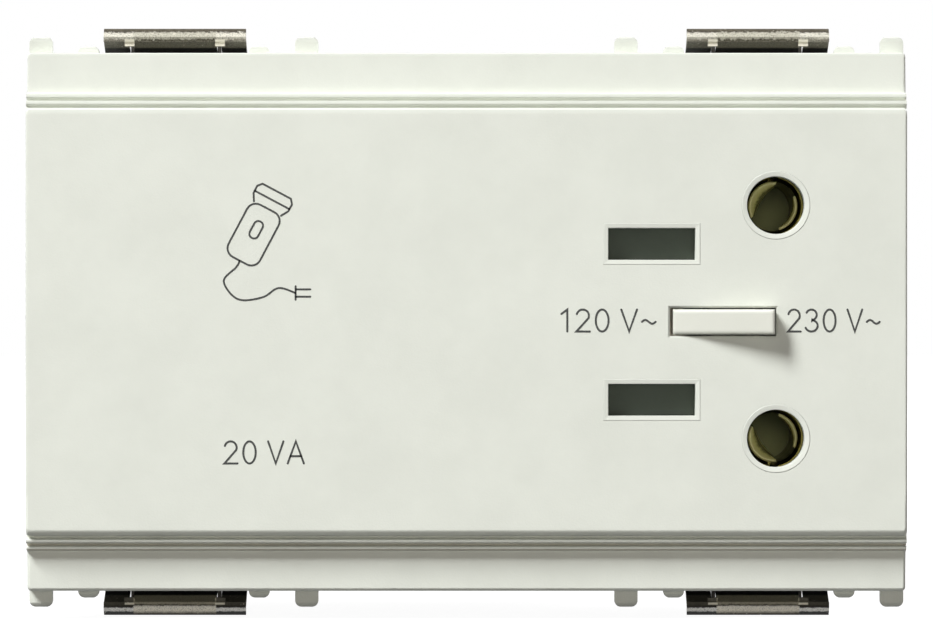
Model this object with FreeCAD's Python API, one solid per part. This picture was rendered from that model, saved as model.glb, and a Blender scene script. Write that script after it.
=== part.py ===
import FreeCAD, Part
import math
import os

# Shaver socket, three modules wide, with a rocker that selects one of two voltages.
# Sizes are millimetres. X runs to the right, Z runs up, and the front faces -Y.
# The origin is the centre of the rim's rear face, which seats on the wall frame.

# Clearances that recur: a rib's root inside its wall, a cut's overshoot, and gaps between pieces
root = 0.5
over = 1.0
skin = 0.01
slip = 0.1
fit = 0.05

# Face: a raised panel between two rims, three modules of the system wide
module_pitch = 24.0
module_count = 3
face_gap = 0.2
face_width = module_pitch * module_count - face_gap
face_height = 44.0
half_width = face_width / 2
half_height = face_height / 2
edge_strip = 4.55
rim_thickness = 2.0
panel_rise = 2.2
panel_edge = half_height - edge_strip
panel_wall = 2.0
panel_edge_radius = 0.7
end_edge_radius = 0.3
rim_slope = 0.42
rim_edge_radius = 0.35
rim_front = -rim_thickness
panel_front = rim_front - panel_rise
panel_back = panel_front + panel_wall

# Grooves and beads between panel and rim, from the panel's edge outwards
groove_width = 0.22
groove_depth = 0.1
bead_width = 0.36
bead_crown = 0.22
inner_groove_drop = 0.9
outer_groove_drop = 1.35

# Skirt behind the rim
skirt_inset = 1.3
skirt_step = 1.6
skirt_width = face_width - 2 * skirt_inset
skirt_height = face_height - 2 * skirt_step
skirt_wall = 1.5
skirt_depth = 6.0
skirt_corner = 1.0
skirt_inner_x = skirt_width / 2 - skirt_wall
skirt_inner_z = skirt_height / 2 - skirt_wall
front_cavity_margin = 1.2

# Location pegs on both long sides of the skirt
peg_offset = 10.9
peg_diameter = 1.9
peg_reach = skirt_height / 2 + 3.0
low_peg_offset = 7.0
low_peg_diameter = 1.7
low_peg_reach = skirt_height / 2 + 2.25
peg_gap_behind_rim = -0.05
peg_tip_radius = 0.55

# Round pin holes and flat blade slots
pin_inset = 10.7
pin_x = half_width - pin_inset
pin_pitch = 19.0
pin_hole_diameter = 4.7
pin_hole_chamfer = 0.45
pin_hole_chamfer_depth = 0.3
blade_x = pin_x - 10.1
blade_pitch = 12.7
slot_length = 7.1
slot_height = 2.6
slot_chamfer = 0.4

# Rocker: a bar that turns about an axis just in front of the panel, on a curved keel
rocker_x = pin_x - 4.3
rocker_tilt = 13.0
rocker_axis_rise = 0.9
rocker_axis_y = panel_front - rocker_axis_rise
rocker_half_length = 4.28
rocker_height = 2.04
rocker_depth = 2.2
rocker_end_draft = 0.5
rocker_edge_radius = 0.2
window_length = 8.66
window_height = 2.3
window_chamfer = 0.15
keel_inner_radius = 4.2
keel_outer_radius = 5.4
keel_half_angle = 27.0
keel_height = 3.2
keel_gap = 0.08
stem_width = 2.6
stem_root = 0.4
stem_reach = 9.2
stem_tip_radius = 0.7
stem_neck = 0.25
saddle_half_width = 1.2
slider_swing = stem_reach * math.sin(math.radians(rocker_tilt))
slider_x = rocker_x + slider_swing

# Shutter: a sliding plate right behind the panel that closes both blade slots
shutter_thickness = 1.0
shutter_gap = 0.1
shutter_overlap = 0.25
shutter_bevel = 0.3
shutter_left = blade_x - 4.1
shutter_right = blade_x + 4.3
shutter_bridge_right = blade_x + 0.3
shutter_pin_length = 1.2
shutter_front = panel_back + shutter_gap
shutter_back = shutter_front + shutter_thickness
shutter_middle = (shutter_front + shutter_back) / 2
shutter_rib_thickness = 0.8
shutter_rib_low = 4.8
shutter_rib_high = 12.0
spring_x = blade_x - 2.5
spring_wire = 0.3
spring_diameter = 1.8
spring_turns = 6
spring_length = 6.2
spring_post_height = 1.6
spring_side_gap = 0.15
spring_stop_thickness = 1.0

# Carrier block for the contacts, its back plate and screws
carrier_front = shutter_back + shutter_gap
carrier_left = shutter_left - 0.1
carrier_right = skirt_inner_x - 1.6
carrier_rear = 16.0
carrier_front_wall = 1.6
carrier_corner = 0.8
backplate_thickness = 1.2
backplate_half_height = skirt_inner_z - 0.3
backplate_rear = carrier_rear + backplate_thickness
backplate_corner = 1.2
carrier_screw_left = carrier_left + 3.3
carrier_screw_right = carrier_right - 1.7
carrier_screw_z = skirt_inner_z - 2.0
carrier_screw_diameter = 2.0
carrier_screw_hole_gap = 0.15
carrier_screw_head = 3.6
carrier_screw_head_height = 1.2
carrier_screw_slot = 0.5
carrier_screw_slot_depth = 0.6
carrier_screw_length = 9.0
cover_boss_radius = 1.9
cover_boss_gap = 0.2
cover_boss_web = 1.2
carrier_half_height = carrier_screw_z - cover_boss_radius - 0.4
relief_wall = 1.2
relief_front = 1.4
relief_rear = 3.0
relief_half_height = 3.0
relief_side = 2.0

# Brass contacts: a slit barrel for the round pin and a fork for the flat blade
barrel_bore = 4.1
barrel_wall = 0.5
barrel_mouth = 0.3
barrel_mouth_depth = 0.6
barrel_slit = 0.8
barrel_slit_end = 1.0
barrel_front = 1.0
brass_sheet = 0.6
fork_width = 6.0
fork_mouth = 2.5
fork_pinch = 1.4
fork_front = 1.2
fork_lead = 2.8
fork_tip = 0.3
pocket_gap = 0.15
strip_height = 2.6
strip_seat = carrier_rear - 1.2
strip_end = 2.55
strip_rim = 1.0
lug_x = blade_x + fork_width / 2 + 2.5
lug_width = 2.0
lug_reach = 4.5
lug_gap = 0.2
strip_rib_half_length = 2.0
strip_rib_half_height = 0.9

# Change-over switch under the rocker
switch_half_length = 6.7
switch_half_height = 3.4
switch_wall = 0.9
switch_front = 1.2
switch_floor = 8.6
switch_floor_thickness = 0.9
switch_gap = 0.15
cheek_half_length = 4.2
cheek_lead = 1.2
cheek_rear_gap = 0.3
cheek_side_gap = 0.12
slider_half_length = 3.5
slider_front = 2.9
slider_rear = 6.1
slider_bottom = -2.4
slider_top = 1.6
slider_floor = 0.9
slider_stud_radius = 0.6
notch_gap = 0.1
notch_end_gap = 0.4
notch_half_width = 0.9
bridge_half_length = 2.1
bridge_height = 3.0
bridge_thickness = 0.5
bridge_point_radius = 0.5
bridge_point_tip = 0.3
contact_gap = 0.05
pad_thickness = 0.7
pad_inner_edge = 2.7
common_half_length = 1.0
pad_height = 3.4
tail_reach = backplate_rear + 1.4
tail_width = 1.6
tail_gap = 0.2
detent_sheet = 0.2
detent_depth = 0.3
detent_clearance = 0.12
detent_foot = 1.0
detent_flat = 2.0
detent_bump = 0.8
detent_side_gap = 0.5

# Deep housing behind the skirt
housing_wall = 1.5
housing_gap = 0.1
housing_front = skirt_depth + housing_gap
housing_inner_x = skirt_width / 2 - housing_wall
housing_inner_z = skirt_height / 2 - housing_wall
housing_corner = 1.5
housing_rear_radius = 0.8
step_x = carrier_left + 2.0
tongue_length = 3.0
tongue_root = 1.5
tongue_wall = 1.0
tongue_half_width = skirt_inner_x - 4.1
tongue_screw_room = 2.6

# Transformer core and coil
core_left = -housing_inner_x + 1.5
core_right = step_x - housing_wall - 1.0
core_width = core_right - core_left
core_x = (core_left + core_right) / 2
core_height = 2 * (housing_inner_z - 1.4)
core_stack = 26.0
core_leg = core_width / 6
core_gap = 0.1
bobbin_wall = 0.8
bobbin_gap = 0.1
flange_side = 0.4
flange_rim = 0.3
flange_corner = 1.0
window_outer = core_width / 2 - core_leg
coil_thickness = window_outer - flange_side - 0.3 - core_leg - bobbin_gap - bobbin_wall
coil_corner = 2.0
coil_overhang = bobbin_gap + bobbin_wall + coil_thickness + flange_rim
front_room = 5.9
rear_room = 0.6
core_front = panel_back + front_room + coil_overhang
core_middle = core_front + core_stack / 2
housing_depth = core_front + core_stack + coil_overhang + rear_room + housing_wall
tape_thickness = 0.25
tape_height = 5.5
post_inset = 2.0
post_half_width = 1.0
post_height = 2.4
post_drop = 3.0
rail_offset = core_width / 3
rail_half_width = 1.0
stop_half_width = 1.6
stop_height = 5.0

# Thermal cut-out on the front of the primary coil
cutout_length = 14.0
cutout_height = 6.0
cutout_thickness = 2.6
cutout_corner = 0.8
cutout_tab_reach = 3.1
cutout_tab_width = 2.0
cutout_tab_rear = 1.1
cutout_tab_sheet = 0.5

# Supply terminals with rising cages, screws driven from the rear
terminal_x = housing_inner_x - 4.7
terminal_z = 7.0
wire_hole = 4.7
wire_room = 4.6
wire_funnel = 1.0
well_front = backplate_rear + 3.2
well_head_diameter = 5.7
well_wall = 1.3
cage_length = 5.6
cage_height = 6.2
cage_depth = 10.2
cage_wall = 0.9
cage_corner = 0.5
cage_nut_thickness = 1.6
cage_gap = 0.3
cage_front = well_front + 1.0
cage_rear = cage_front + cage_depth
bar_front = cage_front + cage_wall + wire_room
bar_thickness = 1.0
bar_height = 3.6
bar_left = terminal_x - 8.0
bar_tail_length = 4.0
bar_tail_width = 2.4
terminal_screw_diameter = 3.5
terminal_head_diameter = 5.2
terminal_head_seat = cage_rear + 2.1
terminal_head_height = 1.8
terminal_head_radius = 0.3
driver_slot = 0.8
driver_slot_depth = 0.8
well_ledge = terminal_head_seat - 0.7
screw_gap = 0.2
terminal_depth = terminal_head_seat + terminal_head_height + 0.5

# Insulating sheet between transformer and terminals
sheet_thickness = 0.8
sheet_front = backplate_rear + 0.4
sheet_guide = 1.0
sheet_guide_height = 1.2

# Spring steel clips, one pair on each long side
clip_offset = module_pitch
clip_width = 11.7
clip_sheet = 0.4
clip_rise = 3.75
clip_reach = skirt_height / 2 + clip_rise
clip_ridge_z = clip_reach - 0.7
clip_ridge_y = 1.5
clip_root_y = housing_front + 2.5
clip_rear_y = clip_root_y + 8.4
clip_lip_y = clip_ridge_y + 0.9
clip_foot_z = skirt_height / 2 + 0.02
clip_tongue_width = 6.8
clip_slit = 0.4
clip_leg_setback = 0.35
clip_bend = 1.2
clip_turned_inset = 1.0
clip_turned_height = 1.2
clip_rail_height = 0.9
clip_rail_width = 1.0
clip_rail_gap = 0.15
clip_rail_start = 1.0
clip_rail_end = 1.2
clip_stud_width = 3.6
clip_stud_length = 3.0
clip_stud_y = (clip_root_y + clip_rear_y) / 2 + 0.6
clip_hole_gap = 0.1

# Snap arms that hold the housing on the cover
arm_thickness = 1.2
arm_width = 5.0
arm_z = 10.0
arm_side_gap = 0.2
hook_front = housing_front + 2.8
hook_land = 0.6
arm_rear = hook_front + 2.5
hook_reach = 1.1
hook_gap = 0.15
hook_window_depth = 0.5

os.makedirs("parts", exist_ok=True)


def vec(x, y, z):
    return FreeCAD.Vector(x, y, z)


Y_AXIS = vec(0, 1, 0)
Z_AXIS = vec(0, 0, 1)


def box(x0, x1, y0, y1, z0, z1):
    """A box between two corners, given in any order."""
    low = vec(min(x0, x1), min(y0, y1), min(z0, z1))
    return Part.makeBox(abs(x1 - x0), abs(y1 - y0), abs(z1 - z0), low)


def rod_y(x, z, radius, y0, y1):
    return Part.makeCylinder(radius, y1 - y0, vec(x, y0, z), Y_AXIS)


def cone_y(x, z, radius_at_y0, radius_at_y1, y0, y1):
    return Part.makeCone(radius_at_y0, radius_at_y1, y1 - y0, vec(x, y0, z), Y_AXIS)


def face_of(place, start, steps):
    """A plane face; each step is (end,) for a line or (via, end) for an arc."""
    edges = []
    here = place(*start)
    for step in steps:
        end = place(*step[-1])
        if len(step) == 1:
            edges.append(Part.LineSegment(here, end).toShape())
        else:
            edges.append(Part.Arc(here, place(*step[0]), end).toShape())
        here = end
    edges.append(Part.LineSegment(here, place(*start)).toShape())
    return Part.Face(Part.Wire(edges))


def along_x(start, steps, x0, x1):
    """A section drawn in (y, z) and pushed along X."""
    section = face_of(lambda y, z: vec(x0, y, z), start, steps)
    return section.extrude(vec(x1 - x0, 0, 0))


def along_z(start, steps, z0, z1):
    """A section drawn in (x, y) and pushed along Z."""
    section = face_of(lambda x, y: vec(x, y, z0), start, steps)
    return section.extrude(vec(0, 0, z1 - z0))


def polygon(points):
    """The straight sides of a polygon, as steps from its first point."""
    return points[0], [(point,) for point in points[1:]]


def above_and_below(shape):
    """A shape together with its mirror image below the middle plane."""
    return shape.fuse(shape.mirror(vec(0, 0, 0), Z_AXIS))


def mirror_down(shape):
    return shape.mirror(vec(0, 0, 0), Z_AXIS)


def rounded(shape, radius, test):
    """Fillet every edge whose bounding box passes the test."""
    edges = [edge for edge in shape.Edges if test(edge.BoundBox)]
    return shape.makeFillet(radius, edges)


def tapered_slot(x, z, length, height, chamfer, y_front, y_back):
    """A rectangular hole along Y with a chamfered mouth at its front."""
    hole = box(x - length / 2, x + length / 2, y_front - over, y_back, z - height / 2, z + height / 2)
    wires = []
    for grow, y in ((chamfer, y_front), (0, y_front + chamfer)):
        half_x = length / 2 + grow
        half_z = height / 2 + grow
        corners = [(-half_x, -half_z), (half_x, -half_z), (half_x, half_z), (-half_x, half_z)]
        points = [vec(x + a, y, z + b) for a, b in corners]
        wires.append(Part.makePolygon(points + points[:1]))
    return hole.fuse(Part.makeLoft(wires, True))


# Front cover

def panel_block():
    """The raised panel: long edges and ends rounded."""
    body = box(-half_width, half_width, panel_front, 0, -panel_edge, panel_edge)
    body = rounded(body, panel_edge_radius, lambda b: b.XLength > half_width and b.YMax < panel_front + skin)
    return rounded(body, end_edge_radius, lambda b: b.XLength < skin and b.YMin < panel_front + over)


def bead_block():
    """Two beads with a groove in front of each, between the panel and the upper rim."""
    inner_y = panel_front + inner_groove_drop
    outer_y = panel_front + outer_groove_drop
    bead_start = panel_edge + groove_width
    bead_end = bead_start + bead_width
    lip_start = bead_end + groove_width
    lip_end = lip_start + bead_width
    foot = inner_y + groove_depth
    rim_high = rim_front - rim_slope
    steps = [
        ((foot, panel_edge + groove_width / 2),),
        ((inner_y, bead_start),),
        ((inner_y - bead_crown, bead_start + bead_width / 2), (inner_y, bead_end)),
        ((outer_y, bead_end),),
        ((outer_y + groove_depth, bead_end + groove_width / 2), (outer_y, lip_start)),
        ((outer_y - bead_crown, lip_start + bead_width / 2), (outer_y, lip_end)),
        ((rim_high, rim_start()),),
        ((0, rim_start()),),
        ((0, panel_edge - panel_edge_radius),),
    ]
    return along_x((foot, panel_edge - panel_edge_radius), steps, -half_width, half_width)


def rim_start():
    return panel_edge + 2 * groove_width + 2 * bead_width + groove_width / 2


def rim_block():
    """The upper rim: a hollowed slope with rounded outer edge and ends."""
    high = rim_front - rim_slope
    z0 = rim_start()
    middle = (rim_front - rim_slope / 4, (z0 + half_height) / 2)
    steps = [(middle, (rim_front, half_height)), ((0, half_height),), ((0, z0),)]
    body = along_x((high, z0), steps, -half_width, half_width)
    body = rounded(body, rim_edge_radius,
                   lambda b: b.XLength > half_width and b.YMax < rim_front + skin and b.ZMin > half_height - skin)
    return rounded(body, end_edge_radius,
                   lambda b: b.XLength < skin and b.ZMax > z0 + over and b.YMin < rim_front + skin)


def pegs(offset, diameter, reach):
    """Pegs behind the rim on both long sides, straight in front, half round behind, with rounded tips."""
    y = peg_gap_behind_rim + peg_diameter / 2
    foot = skirt_height / 2 - skirt_wall / 2
    shapes = []
    for centre in (-module_pitch, module_pitch):
        for side in (-1, 1):
            x = centre + side * offset
            peg = Part.makeCylinder(diameter / 2, reach - foot, vec(x, y, foot), Z_AXIS)
            front = box(x - diameter / 2, x + diameter / 2, peg_gap_behind_rim, y, foot, reach)
            peg = peg.fuse(front).removeSplitter()
            peg = rounded(peg, peg_tip_radius, lambda b: b.ZMin > reach - skin)
            shapes += [peg, mirror_down(peg)]
    return shapes


def snap_arm(side, z):
    """An arm on the skirt's inner end wall with a hook that catches the housing's window."""
    outer = skirt_inner_x - hook_gap
    inner = outer - arm_thickness
    tip = outer + hook_reach
    points = [(inner, 0), (outer + hook_gap, 0), (outer + hook_gap, skirt_depth), (outer, skirt_depth),
              (outer, hook_front), (tip, hook_front), (tip, hook_front + hook_land), (outer, arm_rear), (inner, arm_rear)]
    return along_z(*polygon([(side * x, y) for x, y in points]), z - arm_width / 2, z + arm_width / 2)


def front_cover():
    edges = bead_block().fuse(rim_block())
    body = panel_block().fuse([edges, mirror_down(edges)]).removeSplitter()

    skirt = box(-skirt_width / 2, skirt_width / 2, -rim_thickness / 2, skirt_depth, -skirt_height / 2, skirt_height / 2)
    skirt = rounded(skirt, skirt_corner, lambda b: b.YLength > skirt_depth)
    body = body.fuse([skirt] + pegs(peg_offset, peg_diameter, peg_reach)
                     + pegs(low_peg_offset, low_peg_diameter, low_peg_reach))

    front_z = panel_edge - front_cavity_margin
    body = body.cut(box(-skirt_inner_x, skirt_inner_x, panel_back, skirt_depth + over, -front_z, front_z))
    body = body.cut(box(-skirt_inner_x, skirt_inner_x, 0, skirt_depth + over, -skirt_inner_z, skirt_inner_z))

    adds = [snap_arm(side, z) for side in (-1, 1) for z in (-arm_z, arm_z)]
    for x in (carrier_screw_left, carrier_screw_right):
        boss = rod_y(x, carrier_screw_z, cover_boss_radius, 0, carrier_rear)
        web = cover_boss_web / 2
        boss = boss.fuse(box(x - web, x + web, -root, skirt_depth - root, carrier_screw_z, skirt_inner_z + root / 2))
        boss = boss.cut(rod_y(x, carrier_screw_z, carrier_screw_diameter / 2, carrier_rear - carrier_screw_length,
                              carrier_rear))
        adds += [boss, mirror_down(boss)]
    post_z = front_z - post_drop
    for x in (core_left + post_inset, core_right - post_inset):
        post = box(x - post_half_width, x + post_half_width, panel_back - root, core_front - core_gap,
                   post_z, post_z + post_height)
        adds += [post, mirror_down(post)]
    saddle = keel_saddle()
    adds += [saddle, mirror_down(saddle), spring_post()]
    for x in (shutter_left - slip - shutter_rib_thickness, shutter_right + slip):
        guide = box(x, x + shutter_rib_thickness, panel_back - root, shutter_back - slip, shutter_rib_low, shutter_rib_high)
        adds += [guide, mirror_down(guide)]
    body = body.fuse(adds)

    cuts = [tapered_slot(rocker_x, 0, window_length, window_height, window_chamfer, panel_front, panel_back + skin),
            spring_groove()]
    for side in (-1, 1):
        cuts.append(tapered_slot(blade_x, side * blade_pitch / 2, slot_length, slot_height, slot_chamfer,
                                 panel_front, panel_back + skin))
        z = side * pin_pitch / 2
        cuts.append(rod_y(pin_x, z, pin_hole_diameter / 2, panel_front - over, panel_back + skin))
        wide = pin_hole_diameter / 2 + pin_hole_chamfer
        cuts.append(cone_y(pin_x, z, wide, pin_hole_diameter / 2, panel_front, panel_front + pin_hole_chamfer_depth))
    return body.cut(cuts).removeSplitter()


def keel_saddle():
    """A rib behind the panel whose curved back guides the inside of the rocker's keel."""
    radius = keel_inner_radius - keel_gap
    half = saddle_half_width
    z0 = window_height / 2 + fit
    rib = box(rocker_x - half, rocker_x + half, panel_back - root, rocker_axis_y + radius + over, z0, keel_height / 2)
    disc = Part.makeCylinder(radius, keel_height, vec(rocker_x, rocker_axis_y, 0), Z_AXIS)
    return rib.common(disc)


def spring_post():
    """The stop at the fixed upper end of the shutter spring."""
    z = shutter_top() + spring_length
    half = spring_diameter / 2 + spring_side_gap
    stop = box(spring_x - half, spring_x + half, panel_back - root, shutter_back - slip, z, z + spring_stop_thickness)
    pin = Part.makeCylinder(spring_pin_radius(), spring_post_height,
                            vec(spring_x, shutter_middle, z - spring_post_height), Z_AXIS)
    return stop.fuse(pin)


# Shutter and its spring

def spring_groove():
    """The room that cover and carrier leave for the shutter spring."""
    half = spring_diameter / 2 + spring_side_gap
    return box(spring_x - half, spring_x + half, shutter_middle - half, shutter_middle + half,
               shutter_top(), shutter_top() + spring_length)


def spring_pin_radius():
    return spring_diameter / 2 - spring_wire - slip


def shutter_top():
    return blade_pitch / 2 + slot_height / 2 + shutter_overlap


def shutter():
    """A C-shaped plate: two arms behind the slots, joined left of the rocker."""
    z_out = shutter_top()
    z_in = blade_pitch / 2 - slot_height / 2 - shutter_overlap
    arm = box(shutter_left, shutter_right, shutter_front, shutter_back, z_in, z_out)
    joint = box(shutter_left, shutter_bridge_right, shutter_front, shutter_back, -z_in, z_in)
    pin = Part.makeCylinder(spring_pin_radius(), shutter_pin_length, vec(spring_x, shutter_middle, z_out), Z_AXIS)
    body = arm.fuse([mirror_down(arm), joint, pin]).removeSplitter()
    for side in (-1, 1):
        z_edge = side * blade_pitch / 2 - slot_height / 2 - shutter_overlap
        back = shutter_front + shutter_bevel
        ramp = along_x(*polygon([(shutter_front, z_edge - over), (shutter_front, z_edge + shutter_bevel),
                                 (back, z_edge), (back, z_edge - over)]),
                       shutter_bridge_right, shutter_right + over)
        body = body.cut(ramp)
    return body


def shutter_spring():
    """A compression spring with its lower end on the shutter, upper end on the cover's post."""
    radius = (spring_diameter - spring_wire) / 2
    height = spring_length - spring_wire - 2 * fit
    helix = Part.makeHelix(height / spring_turns, height, radius)
    circle = Part.Wire(Part.makeCircle(spring_wire / 2, vec(radius, 0, 0), Y_AXIS))
    coil = Part.Wire(helix).makePipeShell([circle], True, True)
    coil.translate(vec(spring_x, shutter_middle, shutter_top() + spring_wire / 2 + fit))
    return coil


# Rocker

def tilted(shape, angle):
    turned = shape.copy()
    turned.rotate(vec(rocker_x, rocker_axis_y, 0), Z_AXIS, angle)
    return turned


def selector_rocker():
    """The rocker in its rest pose, with its left end pressed in."""
    slope = rocker_depth * math.tan(math.radians(rocker_tilt + rocker_end_draft))
    foot = rocker_half_length - slope
    y0 = rocker_axis_y
    half_z = rocker_height / 2
    points = [(rocker_x - rocker_half_length, y0), (rocker_x + rocker_half_length, y0),
              (rocker_x + foot, y0 + rocker_depth), (rocker_x - foot, y0 + rocker_depth)]
    bar = along_z(*polygon(points), -half_z, half_z)
    bar = rounded(bar, rocker_edge_radius, lambda b: b.YMax < y0 + skin or b.ZLength > half_z)

    ring = Part.makeCylinder(keel_outer_radius, keel_height, vec(rocker_x, y0, -keel_height / 2), Z_AXIS)
    ring = ring.cut(Part.makeCylinder(keel_inner_radius, keel_height, vec(rocker_x, y0, -keel_height / 2), Z_AXIS))
    spread = keel_outer_radius * math.tan(math.radians(keel_half_angle)) * 2
    wedge = along_z(*polygon([(rocker_x, y0), (rocker_x + spread, y0 + 2 * keel_outer_radius),
                              (rocker_x - spread, y0 + 2 * keel_outer_radius)]), -keel_height, keel_height)
    keel = ring.common(wedge)
    stem = box(rocker_x - stem_width / 2, rocker_x + stem_width / 2, y0 + rocker_depth - root,
               y0 + keel_outer_radius + stem_root, -half_z, half_z)
    finger_half = stem_tip_radius - stem_neck
    finger = box(rocker_x - finger_half, rocker_x + finger_half, y0 + keel_outer_radius,
                 y0 + stem_reach, -half_z, half_z)
    tip = Part.makeCylinder(stem_tip_radius, 2 * half_z, vec(rocker_x, y0 + stem_reach, -half_z), Z_AXIS)
    body = bar.fuse([keel, stem, finger, tip]).removeSplitter()
    return tilted(body, -rocker_tilt)


# Change-over switch

def switch_base():
    """A trough for the slider, with curved cheeks in front that carry the rocker's keel."""
    x0 = rocker_x - switch_half_length
    x1 = rocker_x + switch_half_length
    body = box(x0, x1, switch_front, carrier_rear, -switch_half_height, switch_half_height)
    inner_z = switch_half_height - switch_wall
    body = body.cut(box(x0 + switch_wall, x1 - switch_wall, switch_front - over, switch_floor, -inner_z, inner_z))
    rear = switch_floor + switch_floor_thickness
    body = body.cut(box(x0 + switch_wall, x1 - switch_wall, rear, carrier_rear + over, -inner_z, inner_z))
    cheek = box(rocker_x - cheek_half_length, rocker_x + cheek_half_length,
                rocker_axis_y + keel_outer_radius - cheek_lead, slider_front - cheek_rear_gap,
                rocker_height / 2 + cheek_side_gap, switch_half_height)
    hollow = Part.makeCylinder(keel_outer_radius + keel_gap, 2 * switch_half_height + 2 * over,
                               vec(rocker_x, rocker_axis_y, -switch_half_height - over), Z_AXIS)
    cheeks = above_and_below(cheek).cut(hollow)
    body = body.fuse(cheeks)
    holes = []
    for x in (rocker_x, pad_centre(1), pad_centre(-1)):
        half = tail_width / 2 + fit
        slot = brass_sheet / 2 + fit
        holes.append(box(x - slot, x + slot, switch_floor - over, rear + over, -half, half))
    return body.cut(holes).removeSplitter()


def pad_centre(side):
    """The middle of the fixed contact on the 120 V side (+1) or the 230 V side (-1)."""
    return rocker_x + side * (pad_inner_edge + pad_outer_edge()) / 2


def pad_outer_edge():
    return switch_half_length - switch_wall - slip


def switch_slider():
    """The carriage that the rocker's tip pushes to and fro, with two detent notches."""
    body = box(slider_x - slider_half_length, slider_x + slider_half_length, slider_front, slider_rear,
               slider_bottom, slider_top)
    half = stem_tip_radius + notch_gap
    body = body.cut(box(slider_x - half, slider_x + half, slider_front - over,
                        rocker_axis_y + stem_reach + stem_tip_radius + notch_end_gap,
                        slider_bottom + slider_floor, slider_top + over))
    for side in (-1, 1):
        x = slider_x + side * slider_swing
        above = slider_top + slip
        v = [(x - notch_half_width, above), (x + notch_half_width, above),
             (x, slider_top - detent_depth - detent_clearance)]
        points = [vec(a, slider_front - over, b) for a, b in v]
        notch = Part.Face(Part.makePolygon(points + points[:1]))
        notch = notch.extrude(vec(0, slider_rear - slider_front + 2 * over, 0))
        body = body.cut(notch)
    stud = rod_y(slider_x, (slider_bottom + slider_top) / 2, slider_stud_radius,
                 slider_rear, slider_rear + bridge_thickness)
    return body.fuse(stud)


def bridge_rear():
    return switch_floor - pad_thickness - contact_gap


def switch_bridge():
    """The moving contact, staked on the slider's back."""
    z = (slider_bottom + slider_top) / 2
    rear = bridge_rear()
    body = box(slider_x - bridge_half_length, slider_x + bridge_half_length, slider_rear,
               slider_rear + bridge_thickness, z - bridge_height / 2, z + bridge_height / 2)
    for side in (-1, 1):
        x = slider_x + side * (bridge_half_length - bridge_point_radius)
        point = Part.makeCone(bridge_point_radius, bridge_point_tip, rear - slider_rear - bridge_thickness,
                              vec(x, slider_rear + bridge_thickness, z), Y_AXIS)
        body = body.fuse(point)
    return body.cut(rod_y(slider_x, z, slider_stud_radius + fit, slider_rear - over, rear))


def fixed_contact(x, half_length):
    """A pad on the switch floor with a tail that passes through to the rear."""
    pad = box(x - half_length, x + half_length, switch_floor - pad_thickness, switch_floor,
              -pad_height / 2, pad_height / 2)
    tail = box(x - brass_sheet / 2, x + brass_sheet / 2, switch_floor, tail_reach, -tail_width / 2, tail_width / 2)
    return pad.fuse(tail)


def detent_spring():
    """A bowed leaf whose bump rests in the slider's notch."""
    ceiling = switch_half_height - switch_wall
    half = switch_half_length - switch_wall - switch_gap
    low = slider_top + fit + detent_sheet
    right = [(detent_bump, low), (detent_flat, low), (half - detent_foot, ceiling), (half, ceiling)]
    left = [(-a, b) for a, b in reversed(right)]
    top = left + [(0, low - detent_depth)] + right
    under = [(a, b - detent_sheet) for a, b in reversed(top)]
    points = [vec(rocker_x + a, slider_front + detent_side_gap, b) for a, b in top + under]
    leaf = Part.Face(Part.makePolygon(points + points[:1]))
    return leaf.extrude(vec(0, slider_rear - slider_front - 2 * detent_side_gap, 0))


# Contacts and carrier

def strip_outline(grow, y0, y1):
    """The contact's base strip, or with grow its pocket in the carrier."""
    z = blade_pitch / 2
    bar = box(blade_x - fork_width / 2 - grow, pin_x + strip_end + grow, y0, y1,
              z - strip_height / 2 - grow, z + strip_height / 2 + grow)
    return bar.fuse(rod_y(pin_x, pin_pitch / 2, barrel_bore / 2 + strip_rim + grow, y0, y1))


def contact():
    """The upper contact: barrel, fork, base strip and solder lug, cut and bent from one strip."""
    rear = strip_seat + brass_sheet
    strip = strip_outline(0, strip_seat, rear)
    z_pin = pin_pitch / 2
    barrel = rod_y(pin_x, z_pin, barrel_bore / 2 + barrel_wall, barrel_front, strip_seat)
    lug = box(lug_x - lug_width / 2, lug_x + lug_width / 2, rear, rear + lug_reach,
              blade_pitch / 2 - brass_sheet / 2, blade_pitch / 2 + brass_sheet / 2)
    z = blade_pitch / 2
    mouth = fork_mouth / 2
    pinch = fork_pinch / 2
    pinch_y = fork_front + fork_lead
    foot_y = strip_seat + slip
    leaf = polygon([(fork_front, z + mouth), (pinch_y, z + pinch), (foot_y, z + pinch + slip),
                    (foot_y, z + pinch + slip + barrel_wall), (pinch_y, z + pinch + barrel_wall),
                    (fork_front, z + mouth + fork_tip)])
    upper = along_x(*leaf, blade_x - fork_width / 2, blade_x + fork_width / 2)
    lower = upper.mirror(vec(0, 0, z), Z_AXIS)
    body = strip.fuse([barrel, lug, upper, lower])
    body = body.cut(rod_y(pin_x, z_pin, barrel_bore / 2, barrel_front - over, rear + over))
    body = body.cut(cone_y(pin_x, z_pin, barrel_bore / 2 + barrel_mouth, barrel_bore / 2,
                           barrel_front, barrel_front + barrel_mouth_depth))
    slit = box(pin_x - barrel_slit / 2, pin_x + barrel_slit / 2, barrel_front - over, strip_seat - barrel_slit_end,
               z_pin, z_pin + barrel_bore)
    return body.cut(slit).removeSplitter()


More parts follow.
